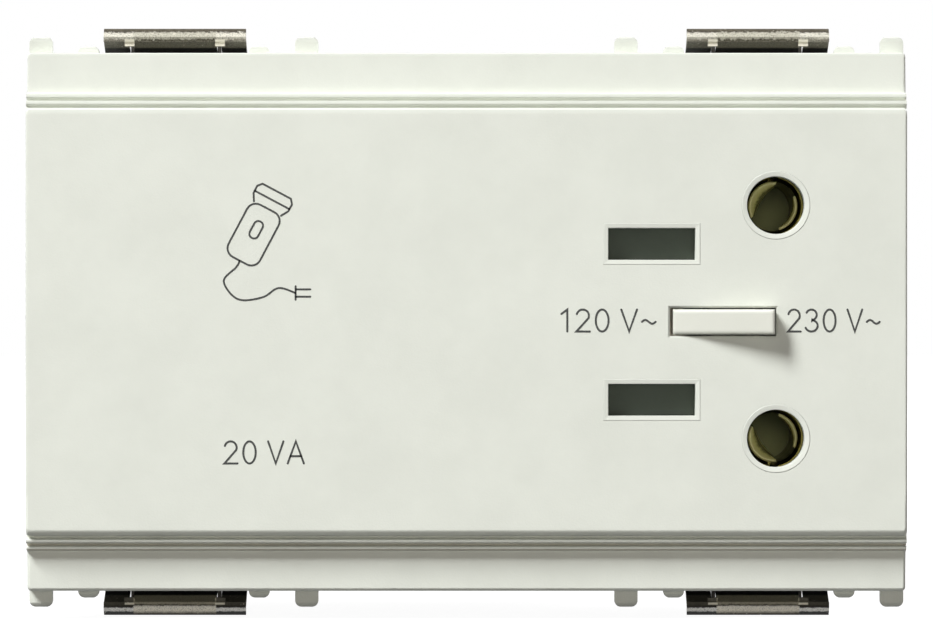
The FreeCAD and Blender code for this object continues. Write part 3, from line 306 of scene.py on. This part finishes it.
bobbin_plastic = moulded_plastic("bobbin_plastic", srgb(226, 221, 204), srgb(214, 208, 190), 0.48, 0.2, 0.012)


# Spring steel of the four clips, with painted highlights and shade

clip_centre = 24.0
clip_slit = 3.4
clip_tab = (3.32, 4.12)
clip_low, clip_high = 22.2, 24.4
clip_root_y = 8.4
clip_root_length = 0.8
# Painted black shade at the front of the clips' roots, next to the rim's top edge
root_shade = srgb(9, 8, 6)
root_dark = srgb(92, 89, 79)
root_light = srgb(120, 117, 105)
speck_colour = srgb(206, 202, 188)
tab_highlight = srgb(236, 232, 216)


def steel_with_painted_light(name, tongue_zones, leg_zones, tab_heights, black_below, mottle, waver):
    """Spring steel with mottled wear and bright specks, painted in bands of highlight and shade.

    Each zone is (height from the face's middle, colour), for the middle tongue and for the legs;
    the bright zones along the ridge are a painted highlight and the dark lines beside them painted
    shade. The small tabs beside the slits get a painted highlight between two heights. Below
    black_below the root is painted black as shade at the front and is plain steel further back. The
    zones' edges waver by about the last length.
    """
    finish = Finish(name, tongue_zones[0][1], 0.55, 0.25)
    finish.shader.inputs["Specular IOR Level"].default_value = dull_specular
    grain = finish.noise(0.10, 5.0, 0.7)
    scuffs = finish.noise(0.34, 5.0, 0.75)
    height = finish.calc("ABSOLUTE", finish.axis("Z"))
    uneven = finish.calc("MULTIPLY", finish.calc("SUBTRACT", scuffs, 0.5), waver)
    level = finish.band(finish.calc("ADD", height, uneven), clip_low, clip_high)

    def zones(stops):
        span = clip_high - clip_low
        return finish.ramp(level, *[((z - clip_low) / span, colour) for z, colour in stops])

    beside = finish.calc("SUBTRACT", finish.calc("ABSOLUTE", finish.axis("X")), clip_centre)
    offset = finish.calc("ABSOLUTE", beside)
    on_leg = finish.band(offset, clip_slit - 0.05, clip_slit + 0.05)
    # The zones paint a highlight along the ridge and shade lines beside it
    painted_light_bands = finish.mix(on_leg, zones(tongue_zones), zones(leg_zones))
    rubbed = finish.ramp(grain, (0.36, 1 - mottle), (0.50, 0.95), (0.62, 1.0))
    specks = finish.ramp(finish.noise(0.42, 2.0, 0.5), (0.70, 0.0), (0.75, 0.8))
    wear_and_painted_light = finish.mix(specks, finish.mix(1.0, painted_light_bands, rubbed, "MULTIPLY"), speck_colour)
    # Painted highlight on the small tabs beside the slits
    tab_highlight_mask = finish.calc("MULTIPLY", finish.within(offset, *clip_tab), finish.within(height, *tab_heights))
    wear_and_painted_light = finish.mix(tab_highlight_mask, wear_and_painted_light, tab_highlight)
    # Painted black shade below black_below at the front, plain steel further back
    above_root = finish.band(height, black_below - 0.05, black_below + 0.05)
    behind = finish.band(finish.axis("Y"), clip_root_y, clip_root_y + clip_root_length)
    plain = finish.ramp(scuffs, (0.35, root_dark), (0.65, root_light))
    finish.paint(finish.mix(above_root, finish.mix(behind, root_shade, plain), wear_and_painted_light))
    finish.gloss(grain, 0.42, 0.70)
    finish.bump(grain, 0.02)
    finish.bump(scuffs, 0.05)
    return finish


# Near-black for the painted shade lines beside the bottom clips' bend and along their outer edge
shade_black = srgb(14, 13, 10)
# Top and bottom clips are the same steel; each copy paints its own highlights and shade for how the light
# falls on it
clip_steel_top_painted_light = steel_with_painted_light(
    "clip_steel_top_painted_light",
    [(22.45, srgb(116, 112, 98)), (23.05, srgb(124, 120, 106)), (23.17, srgb(70, 66, 54)),
     (23.31, srgb(184, 181, 166)), (23.81, srgb(190, 187, 172)), (23.91, srgb(70, 64, 50)),
     (24.15, srgb(104, 98, 84))],
    [(22.45, srgb(88, 84, 74)), (22.85, srgb(124, 120, 108)), (23.21, srgb(150, 146, 134)),
     (23.31, srgb(206, 203, 190)), (23.75, srgb(212, 209, 196)), (23.89, srgb(64, 58, 46)),
     (24.15, srgb(104, 98, 84))],
    tab_heights=(22.70, 23.25), black_below=22.60, mottle=0.70, waver=0.95)
clip_steel_bottom_painted_light = steel_with_painted_light(
    "clip_steel_bottom_painted_light",
    [(22.55, srgb(176, 172, 152)), (23.21, srgb(168, 164, 146)), (23.29, shade_black),
     (23.41, srgb(255, 252, 240)), (23.80, srgb(255, 250, 232)), (24.00, srgb(90, 84, 70)),
     (24.10, shade_black)],
    [(22.55, srgb(92, 90, 80)), (23.21, srgb(84, 82, 72)), (23.47, srgb(30, 28, 24)),
     (23.58, srgb(255, 255, 250)), (23.80, srgb(255, 255, 250)), (23.86, shade_black),
     (24.15, shade_black)],
    tab_heights=(23.10, 23.27), black_below=22.55, mottle=0.5, waver=0.30)


# Other metals, and the transformer's materials

def brass_finish(name, light, dark):
    finish = Finish(name, light, 0.3, 1.0)
    stains = mottled(finish, dark, light, 2.2, 0.3, 0.7)
    finish.gloss(stains, 0.42, 0.24)
    finish.bump(finish.noise(0.12, 4.0, 0.6, (1.0, 0.25, 1.0)), 0.008)
    return finish


def plated_steel(name, light, dark):
    finish = Finish(name, light, 0.32, 1.0)
    mottled(finish, dark, light, 1.2)
    finish.gloss(finish.noise(0.3, 4.0), 0.24, 0.46)
    finish.bump(finish.noise(0.08, 3.0), 0.006)
    return finish


def laminated_steel():
    """Thin sheets stacked along Y, with a dark varnish."""
    finish = Finish("core_steel", srgb(96, 98, 100), 0.42, 0.85)
    sheets = finish.stripes("Y", "TRI", 0.5)
    lines = finish.ramp(sheets, (0.0, 0.0), (0.2, 1.0))
    stains = finish.noise(1.6, 4.0)
    tone = finish.ramp(stains, (0.35, srgb(84, 84, 84)), (0.65, srgb(122, 124, 126)))
    finish.paint(finish.mix(lines, srgb(40, 38, 36), tone))
    finish.gloss(stains, 0.36, 0.56)
    finish.bump(sheets, 0.06)
    return finish


def wound_wire():
    """Enamelled wire in close turns, one above the other."""
    finish = Finish("copper_wire", srgb(178, 92, 46), 0.28, 1.0)
    turns = finish.stripes("Z", "SIN", 0.3, 0.6)
    finish.paint(finish.ramp(turns, (0.0, srgb(70, 30, 14)), (0.55, srgb(176, 90, 44)),
                             (1.0, srgb(214, 126, 72))))
    finish.gloss(finish.noise(1.0, 3.0), 0.22, 0.4)
    finish.bump(turns, 0.12)
    return finish


def film_tape():
    """Wound polyester film with soft creases."""
    finish = Finish("tape", srgb(196, 158, 40), 0.22)
    mottled(finish, srgb(178, 140, 30), srgb(206, 168, 48), 5.0)
    finish.bump(finish.noise(1.8, 3.0, 0.6), 0.05)
    finish.gloss(finish.noise(0.6, 3.0), 0.14, 0.3)
    return finish


def pressboard():
    """Pressed insulating board with fibres along Y."""
    finish = Finish("insulating_sheet", srgb(196, 150, 96), 0.62)
    fibres = finish.noise(0.5, 5.0, 0.7, (1.0, 0.2, 1.0))
    finish.paint(finish.ramp(fibres, (0.3, srgb(176, 130, 80)), (0.7, srgb(206, 164, 112))))
    finish.gloss(fibres, 0.55, 0.7)
    finish.bump(fibres, 0.02)
    return finish


spring_steel = plated_steel("spring_steel", srgb(196, 196, 192), srgb(168, 168, 164))
zinc_steel = plated_steel("zinc_steel", srgb(214, 214, 208), srgb(190, 191, 186))
brass = brass_finish("brass", srgb(204, 184, 112), srgb(172, 150, 84))
tinned_brass = brass_finish("tinned_brass", srgb(206, 204, 192), srgb(182, 180, 166))
socket_brass = brass_finish("socket_brass", srgb(120, 116, 66), srgb(92, 88, 46))
core_steel = laminated_steel()
copper_wire = wound_wire()
tape = film_tape()
insulating_sheet = pressboard()

finish_of = {
    "front_cover": cover_plastic, "rear_housing": housing_plastic, "selector_rocker": rocker_plastic,
    "clip_top_left": clip_steel_top_painted_light, "clip_top_right": clip_steel_top_painted_light,
    "clip_bottom_left": clip_steel_bottom_painted_light, "clip_bottom_right": clip_steel_bottom_painted_light,
    "switch_base": switch_plastic, "switch_slider": slider_plastic, "switch_bridge": tinned_brass,
    "detent_spring": spring_steel, "switch_contact_120": tinned_brass, "switch_contact_230": tinned_brass,
    "switch_common": tinned_brass, "shutter": shutter_plastic, "shutter_spring": spring_steel,
    "contact_upper": socket_brass, "contact_lower": socket_brass, "contact_carrier": carrier_plastic,
    "carrier_backplate": backplate_plastic, "carrier_screws": zinc_steel,
    "core_e_stack": core_steel, "core_i_stack": core_steel, "bobbin": bobbin_plastic,
    "primary_winding": copper_wire, "secondary_winding": copper_wire, "winding_tape": tape,
    "thermal_cutout": base_plastic, "insulating_partition": insulating_sheet,
    "terminal_cage_l": zinc_steel, "terminal_cage_n": zinc_steel, "terminal_screw_l": zinc_steel,
    "terminal_screw_n": zinc_steel, "terminal_bar_l": brass, "terminal_bar_n": brass,
}
for name, node in nodes.items():
    node.data.materials.clear()
    node.data.materials.append(finish_of[name].material)


# The shutter's spring gets a mesh of its own

spring = nodes["shutter_spring"]
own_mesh(spring)


# Outlines in (x, z), and pieces made from a mesh

def arc(cx, cz, rx, rz, start, end, count=18):
    """Points on an ellipse's arc, angles in degrees, counterclockwise from +X."""
    made = []
    for i in range(count + 1):
        angle = math.radians(start + (end - start) * i / count)
        made.append((cx + rx * math.cos(angle), cz + rz * math.sin(angle)))
    return made


def circle(cx, cz, radius, count=64):
    return arc(cx, cz, radius, radius, 0, 360, count)[:-1]


def rectangle(cx, cz, width, height):
    return [(cx - width / 2, cz - height / 2), (cx + width / 2, cz - height / 2),
            (cx + width / 2, cz + height / 2), (cx - width / 2, cz + height / 2)]


def rounded_outline(x0, x1, z0, z1, r, count=6):
    """A rectangle with round corners."""
    made = []
    corners = ((x1 - r, z1 - r, 0), (x0 + r, z1 - r, 90), (x0 + r, z0 + r, 180), (x1 - r, z0 + r, 270))
    for cx, cz, start in corners:
        made += arc(cx, cz, r, r, start, start + 90, count)
    return made


def piece_of(mesh, name, finish, smooth=False):
    """A finished mesh as a piece of the fixed body."""
    bmesh.ops.recalc_face_normals(mesh, faces=mesh.faces)
    data = bpy.data.meshes.new(name)
    mesh.to_mesh(data)
    mesh.free()
    if smooth:
        data.shade_smooth()
    data.materials.append(finish.material)
    piece = bpy.data.objects.new(name, data)
    scene.collection.objects.link(piece)
    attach(piece, "base")


def ring_of(mesh, outline, y):
    """The outline's points as vertices in one plane."""
    return [mesh.verts.new((x * MM, y * MM, z * MM)) for x, z in outline]


def bridge(mesh, first, second):
    """Faces all the way round between two rings of the same count."""
    count = len(first)
    for i in range(count):
        j = (i + 1) % count
        mesh.faces.new([first[i], first[j], second[j], second[i]])


# Print on the front: strokes with a constant width, a hair above the panel

panel_y = -4.2
ink_height = 0.012
line_width = 0.17
sign_width = 0.16
cell_gap = 0.16
word_gap = 0.30
sharpest_mitre = 0.4
cap_steps = 6

ink = Finish("print_ink", srgb(58, 62, 61), 0.5)
ink.paint(ink.ramp(ink.noise(0.05, 3.0), (0.3, srgb(40, 43, 42)), (0.7, srgb(52, 55, 54))))
ink.bump(ink.noise(0.04, 2.0), 0.003)


def add_plate(mesh, outline):
    """A thin plate on the panel with the given outline."""
    front = ring_of(mesh, outline, panel_y - ink_height)
    back = ring_of(mesh, outline, panel_y + ink_height)
    mesh.faces.new(front)
    mesh.faces.new(back[::-1])
    bridge(mesh, front, back)


def add_stroke(mesh, points, width, closed=False):
    """A flat ribbon along points in (x, z), with mitred corners and round ends."""
    half = width / 2
    count = len(points)
    left, right = [], []
    for i, (x, z) in enumerate(points):
        before = points[i - 1] if i or closed else None
        after = points[(i + 1) % count] if i < count - 1 or closed else None
        ways = []
        if before:
            ways.append(Vector((x - before[0], z - before[1])).normalized())
        if after:
            ways.append(Vector((after[0] - x, after[1] - z)).normalized())
        along = sum(ways, Vector((0, 0))).normalized()
        side = Vector((-along.y, along.x))
        reach = half / max(sharpest_mitre, side.dot(Vector((-ways[0].y, ways[0].x))))
        left.append((x + side.x * reach, z + side.y * reach))
        right.append((x - side.x * reach, z - side.y * reach))
    if not closed:
        for near, other in ((Vector(points[0]), Vector(points[1])), (Vector(points[-1]), Vector(points[-2]))):
            out = (near - other).normalized() * half
            side = Vector((-out.y, out.x))
            turns = [math.pi * k / cap_steps for k in range(cap_steps + 1)]
            ring = [near + out * math.sin(a) + side * math.cos(a) for a in turns]
            add_plate(mesh, [(p.x, p.y) for p in ring])
    for i in range(count if closed else count - 1):
        j = (i + 1) % count
        add_plate(mesh, [left[i], left[j], right[j], right[i]])


def printed(name, strokes, width):
    """One printed piece from strokes, each (points, closed)."""
    mesh = bmesh.new()
    for points, closed in strokes:
        add_stroke(mesh, points, width, closed)
    piece_of(mesh, name, ink)


def figure_strokes():
    """Each figure or sign: its strokes in a cell one unit high, and the cell's width."""
    top = arc(0.29, 0.72, 0.25, 0.28, 165, -25, 18)
    bows = arc(0.27, 0.76, 0.23, 0.24, 155, -90, 16) + arc(0.27, 0.26, 0.27, 0.26, 90, -160, 18)
    wave = [(0.02 + 0.56 * i / 24, 0.44 + 0.085 * math.sin(2 * math.pi * i / 24)) for i in range(25)]
    return {
        "0": ([(arc(0.30, 0.5, 0.26, 0.5, 90, 450, 36)[:-1], True)], 0.60),
        "1": ([([(0.10, 0.80), (0.34, 1.0), (0.34, 0.0)], False)], 0.52),
        "2": ([(top + [(0.03, 0.0), (0.58, 0.0)], False)], 0.62),
        "3": ([(bows, False)], 0.60),
        "V": ([([(0.02, 1.0), (0.34, 0.0), (0.66, 1.0)], False)], 0.68),
        "A": ([([(0.0, 0.0), (0.34, 1.0), (0.68, 0.0)], False), ([(0.11, 0.33), (0.57, 0.33)], False)], 0.68),
        "~": ([(wave, False)], 0.60),
    }


figures = figure_strokes()


def label(name, text, left, right, low, high):
    """A line of figures fitted between two x and two z values."""
    total = 0.0
    cells = []
    for sign in text:
        if sign == " ":
            total += word_gap
            continue
        strokes, wide = figures[sign]
        cells.append((strokes, total))
        total += wide + cell_gap
    total -= cell_gap
    half = line_width / 2
    scale_x = (right - left - line_width) / total
    scale_z = high - low - line_width
    made = []
    for strokes, start in cells:
        for points, closed in strokes:
            moved = [(left + half + (start + x) * scale_x, low + half + z * scale_z) for x, z in points]
            made.append((moved, closed))
    printed(name, made, line_width)


labels = (
    ("print_120", "120 V~", 7.45, 15.53, -0.87, 1.09),
    ("print_230", "230 V~", 26.04, 33.76, -0.87, 1.09),
    ("print_power", "20 VA", -19.84, -13.14, -11.61, -9.64),
)
for spot in labels:
    label(*spot)


def smooth_line(points, steps=10):
    """A curve that passes through all the points."""
    ends = [points[0]] + points + [points[-1]]
    made = []
    for a, b, c, d in zip(ends, ends[1:], ends[2:], ends[3:]):
        for k in range(steps):
            t = k / steps
            made.append(tuple(0.5 * (2 * q + (r - p) * t + (2 * p - 5 * q + 4 * r - s) * t * t
                                     + (3 * q - p - 3 * r + s) * t ** 3)
                              for p, q, r, s in zip(a, b, c, d)))
    return made + [points[-1]]


sign_x, sign_z, sign_lean = -16.9, 7.9, -28


def turned(points):
    """Points of the upright shaver, leaned and moved to the sign's place."""
    c, s = math.cos(math.radians(sign_lean)), math.sin(math.radians(sign_lean))
    return [(sign_x + x * c - z * s, sign_z + x * s + z * c) for x, z in points]


def shaver_sign():
    """A plain line drawing of a shaver, with a cord that runs to a two-pin plug."""
    body = rounded_outline(-1.45, 1.45, -3.3, 1.5, 0.8)
    head = [(-1.25, 1.5), (-1.6, 2.1), (-1.6, 2.75), (-1.3, 3.1),
            (1.3, 3.1), (1.6, 2.75), (1.6, 2.1), (1.25, 1.5)]
    comb = [(-1.6, 2.3), (1.6, 2.3)]
    button = rounded_outline(-0.38, 0.38, -1.2, 0.3, 0.36)
    strokes = [(turned(body), True), (turned(head), False), (turned(comb), False), (turned(button), True)]
    foot = turned([(0, -3.3), (0, -3.9)])
    loop = [(-19.75, 3.3), (-18.6, 1.85), (-16.6, 2.0), (-15.3, 2.75)]
    plug_x, plug_z = -13.9, 2.35
    plug_half, pin_spread, pin_length = 0.55, 0.3, 1.2
    strokes.append((smooth_line(foot + loop + [(plug_x, plug_z)]), False))
    strokes.append(([(plug_x, plug_z - plug_half), (plug_x, plug_z + plug_half)], False))
    for rise in (-pin_spread, pin_spread):
        strokes.append(([(plug_x, plug_z + rise), (plug_x + pin_length, plug_z + rise)], False))
    printed("print_shaver_sign", strokes, sign_width)


shaver_sign()


# Low moulded lips in the mouths of the slots and pin holes

pin_x, pin_z = 25.2, 9.5
pin_hole_radius = 2.35
pin_lip_radius = 2.8
blade_x, blade_z = 15.1, 6.35
slot_size = (7.1, 2.6)
slot_lip_size = (7.9, 3.4)
slot_lip_drop, slot_lip_depth = 0.045, 0.4
pin_lip_drop, pin_lip_depth = 0.065, 0.3
rows = (("upper", 1), ("lower", -1))


def lip(name, outer, inner, drop, depth):
    """A ring between two outlines in (x, z): flush outside, a little lower at the opening."""
    mesh = bmesh.new()
    rim = ring_of(mesh, outer, panel_y)
    edge = ring_of(mesh, inner, panel_y + drop)
    foot = ring_of(mesh, inner, panel_y + depth)
    bridge(mesh, rim, edge)
    bridge(mesh, edge, foot)
    bridge(mesh, foot, rim)
    piece_of(mesh, name, lip_plastic)


for row, side in rows:
    lip("slot_lip_" + row, rectangle(blade_x, side * blade_z, *slot_lip_size),
        rectangle(blade_x, side * blade_z, *slot_size), slot_lip_drop, slot_lip_depth)
    lip("pin_lip_" + row, circle(pin_x, side * pin_z, pin_lip_radius),
        circle(pin_x, side * pin_z, pin_hole_radius), pin_lip_drop, pin_lip_depth)


# Dark ribs behind the clips' slits, put there as painted shade

shade_rib_sides = (3.42, 3.73)
shade_rib_depths = (4.2, 5.2)
shade_rib_heights = (21.9, 22.9)
box_faces = ((0, 1, 3, 2), (4, 5, 7, 6), (0, 1, 5, 4), (2, 3, 7, 6), (0, 2, 6, 4), (1, 3, 7, 5))


def clip_shade_rib(name, cx, way, side):
    """A dark rib to one side of a clip's middle, above or below the face's middle, as painted shade in the
    slit.
    """
    mesh = bmesh.new()
    spots = [mesh.verts.new(((cx + way * x) * MM, y * MM, side * z * MM))
             for x in shade_rib_sides for y in shade_rib_depths for z in shade_rib_heights]
    for corners in box_faces:
        mesh.faces.new([spots[k] for k in corners])
    piece_of(mesh, name, base_plastic)


for clip, cx, side in (("top_left", -clip_centre, 1), ("top_right", clip_centre, 1),
                       ("bottom_left", -clip_centre, -1), ("bottom_right", clip_centre, -1)):
    for end, way in (("left", -1), ("right", 1)):
        clip_shade_rib("clip_shade_rib_" + clip + "_" + end, cx, way, side)


# Sprung tongues of the round contacts: brass sheet cut from the barrel and bent into its bore

barrel_radius = 2.05
tongue_front, tongue_back = 1.3, 1.75
tongue_gap = 0.02
tongue_sheet = 0.198
tongue_rows, tongue_columns = 10, 28


def brass_with_painted_light():
    """Brass with painted shade deeper in the bore and a painted highlight along the tongue's back edge."""
    finish = Finish("contact_brass", srgb(214, 208, 138), 0.45, 0.1)
    depth = finish.band(finish.axis("Y"), tongue_front, tongue_back)
    streaks = finish.calc("MULTIPLY", finish.noise(0.35, 4.0, 0.65), 0.6)
    shade_depth = finish.calc("ADD", depth, finish.calc("SUBTRACT", streaks, 0.3))
    # Painted shade: darker deeper in the bore
    depth_shade = finish.ramp(shade_depth, (0.0, srgb(252, 248, 176)), (0.45, srgb(226, 222, 140)),
                        (0.75, srgb(112, 112, 58)))
    # Painted highlight along the tongue's back edge, which leans furthest in
    finish.paint(finish.mix(finish.band(depth, 0.93, 0.96), depth_shade, srgb(240, 236, 170)))
    finish.gloss(finish.noise(0.2, 3.0), 0.34, 0.56)
    finish.bump(finish.noise(0.25, 4.0, 0.6, (1.0, 0.3, 1.0)), 0.02)
    return finish


contact_brass = brass_with_painted_light()


def bent_tongue(name, side, start, end, reach):
    """A tongue that leans in from the barrel's wall, between two angles of the upper contact."""
    mesh = bmesh.new()
    layers = []
    for lift in (0.0, tongue_sheet):
        grid = []
        for i in range(tongue_rows + 1):
            t = i / tongue_rows
            y = tongue_front + (tongue_back - tongue_front) * t
            line = []
            for k in range(tongue_columns + 1):
                u = k / tongue_columns
                angle = math.radians(start + (end - start) * u)
                lean = reach * math.sqrt(max(0.0, math.sin(math.pi * u))) * t
                radius = barrel_radius - tongue_gap - lift - lean
                line.append(mesh.verts.new(((pin_x + radius * math.cos(angle)) * MM, y * MM,
                                            side * (pin_z + radius * math.sin(angle)) * MM)))
            grid.append(line)
        layers.append(grid)
    outer, inner = layers
    for i in range(tongue_rows):
        for k in range(tongue_columns):
            for grid in layers:
                mesh.faces.new([grid[i][k], grid[i][k + 1], grid[i + 1][k + 1], grid[i + 1][k]])
    for k in range(tongue_columns):
        for i in (0, tongue_rows):
            mesh.faces.new([outer[i][k], outer[i][k + 1], inner[i][k + 1], inner[i][k]])
    for i in range(tongue_rows):
        for k in (0, tongue_columns):
            mesh.faces.new([outer[i][k], outer[i + 1][k], inner[i + 1][k], inner[i][k]])
    piece_of(mesh, name, contact_brass, smooth=True)


for row, side in rows:
    bent_tongue("contact_tongue_left_" + row, side, start=82, end=208, reach=0.80)
    bent_tongue("contact_tongue_right_" + row, side, start=-75, end=25, reach=0.26)


# Floor and even light; both look white to the camera and dimmer to the rest of the light

floor_half = 4.0
floor_drop = 0.0002
floor_grey = 0.09
floor_glow = 0.95
world_level = 0.05


def ray_share(tree, *kinds):
    """1 for rays of any of the given kinds, 0 for the others."""
    rays = tree.nodes.new("ShaderNodeLightPath")
    share = rays.outputs[kinds[0]]
    for kind in kinds[1:]:
        either = tree.nodes.new("ShaderNodeMath")
        either.operation = "MAXIMUM"
        tree.links.new(share, either.inputs[0])
        tree.links.new(rays.outputs[kind], either.inputs[1])
        share = either.outputs[0]
    return share


def pale_floor():
    data = bpy.data.meshes.new("floor")
    z = cad_low.z - floor_drop
    corners = [(x, y, z) for x, y in rectangle(0, 0, 2 * floor_half, 2 * floor_half)]
    data.from_pydata(corners, [], [(0, 1, 2, 3)])
    floor = bpy.data.objects.new("floor", data)
    scene.collection.objects.link(floor)
    material = bpy.data.materials.new("floor")
    material.use_nodes = True
    tree = material.node_tree
    shader = tree.nodes["Principled BSDF"]
    shader.inputs["Base Color"].default_value = (floor_grey, floor_grey, floor_grey, 1)
    shader.inputs["Roughness"].default_value = 0.9
    shader.inputs["Emission Color"].default_value = (1, 1, 1, 1)
    glow = tree.nodes.new("ShaderNodeMath")
    glow.operation = "MULTIPLY"
    glow.inputs[1].default_value = floor_glow
    tree.links.new(ray_share(tree, "Is Camera Ray", "Is Glossy Ray"), glow.inputs[0])
    tree.links.new(glow.outputs[0], shader.inputs["Emission Strength"])
    data.materials.append(material)


def soft_world():
    """Even light from all round; the background itself shows white."""
    world = bpy.data.worlds.new("world")
    scene.world = world
    world.use_nodes = True
    tree = world.node_tree
    background = tree.nodes["Background"]
    background.inputs["Color"].default_value = (1, 1, 1, 1)
    strength = tree.nodes.new("ShaderNodeMapRange")
    strength.inputs["To Min"].default_value = world_level
    strength.inputs["To Max"].default_value = 1.0
    seen = ray_share(tree, "Is Camera Ray", "Is Glossy Ray", "Is Transmission Ray")
    tree.links.new(seen, strength.inputs["Value"])
    tree.links.new(strength.outputs["Result"], background.inputs["Strength"])


pale_floor()
soft_world()


# Lamps: a key from the upper left, a weak warm one in front of the face and one behind, with their
# power in watts

def soft_lamp(name, place, size, power):
    """A disk of light that looks at the object's middle."""
    data = bpy.data.lights.new(name, "AREA")
    data.shape = "DISK"
    data.size = size
    data.energy = power
    lamp = bpy.data.objects.new(name, data)
    scene.collection.objects.link(lamp)
    lamp.location = place
    lamp.rotation_mode = "QUATERNION"
    lamp.rotation_quaternion = (-Vector(place)).to_track_quat("-Z", "Y")
    return lamp


key_direction = Vector((-0.95, -1.0, 1.42)).normalized()
key_distance = 2.0
key_width, key_height = 0.56, 0.86
key_power = 55.5
warm_white = (1.0, 0.895, 0.77)
key = soft_lamp("key", place=key_direction * key_distance, size=key_width, power=key_power)
key.data.shape = "ELLIPSE"
key.data.size_y = key_height
front = soft_lamp("front", place=(0.02, -1.3, 0.04), size=0.3, power=2.75)
front.data.color = warm_white
soft_lamp("back", place=(0.55, 1.2, 0.4), size=0.6, power=9.0)


# Camera: straight at the face, with the photograph's scale in the panel's plane

picture_width = 933
pixels_per_mm = 12.285
view_width = picture_width / pixels_per_mm * MM
view_distance = 0.52
view_shift = 0.00001
sensor_width = 36
camera_data = bpy.data.cameras.new("camera")
camera_data.sensor_width = sensor_width
camera_data.lens = sensor_width * view_distance / view_width
camera_data.clip_start = 0.01
camera_data.clip_end = 100
camera = bpy.data.objects.new("camera", camera_data)
scene.collection.objects.link(camera)
camera.location = (view_shift, panel_y * MM - view_distance, -view_shift)
camera.rotation_euler = (math.pi / 2, 0, 0)
scene.camera = camera
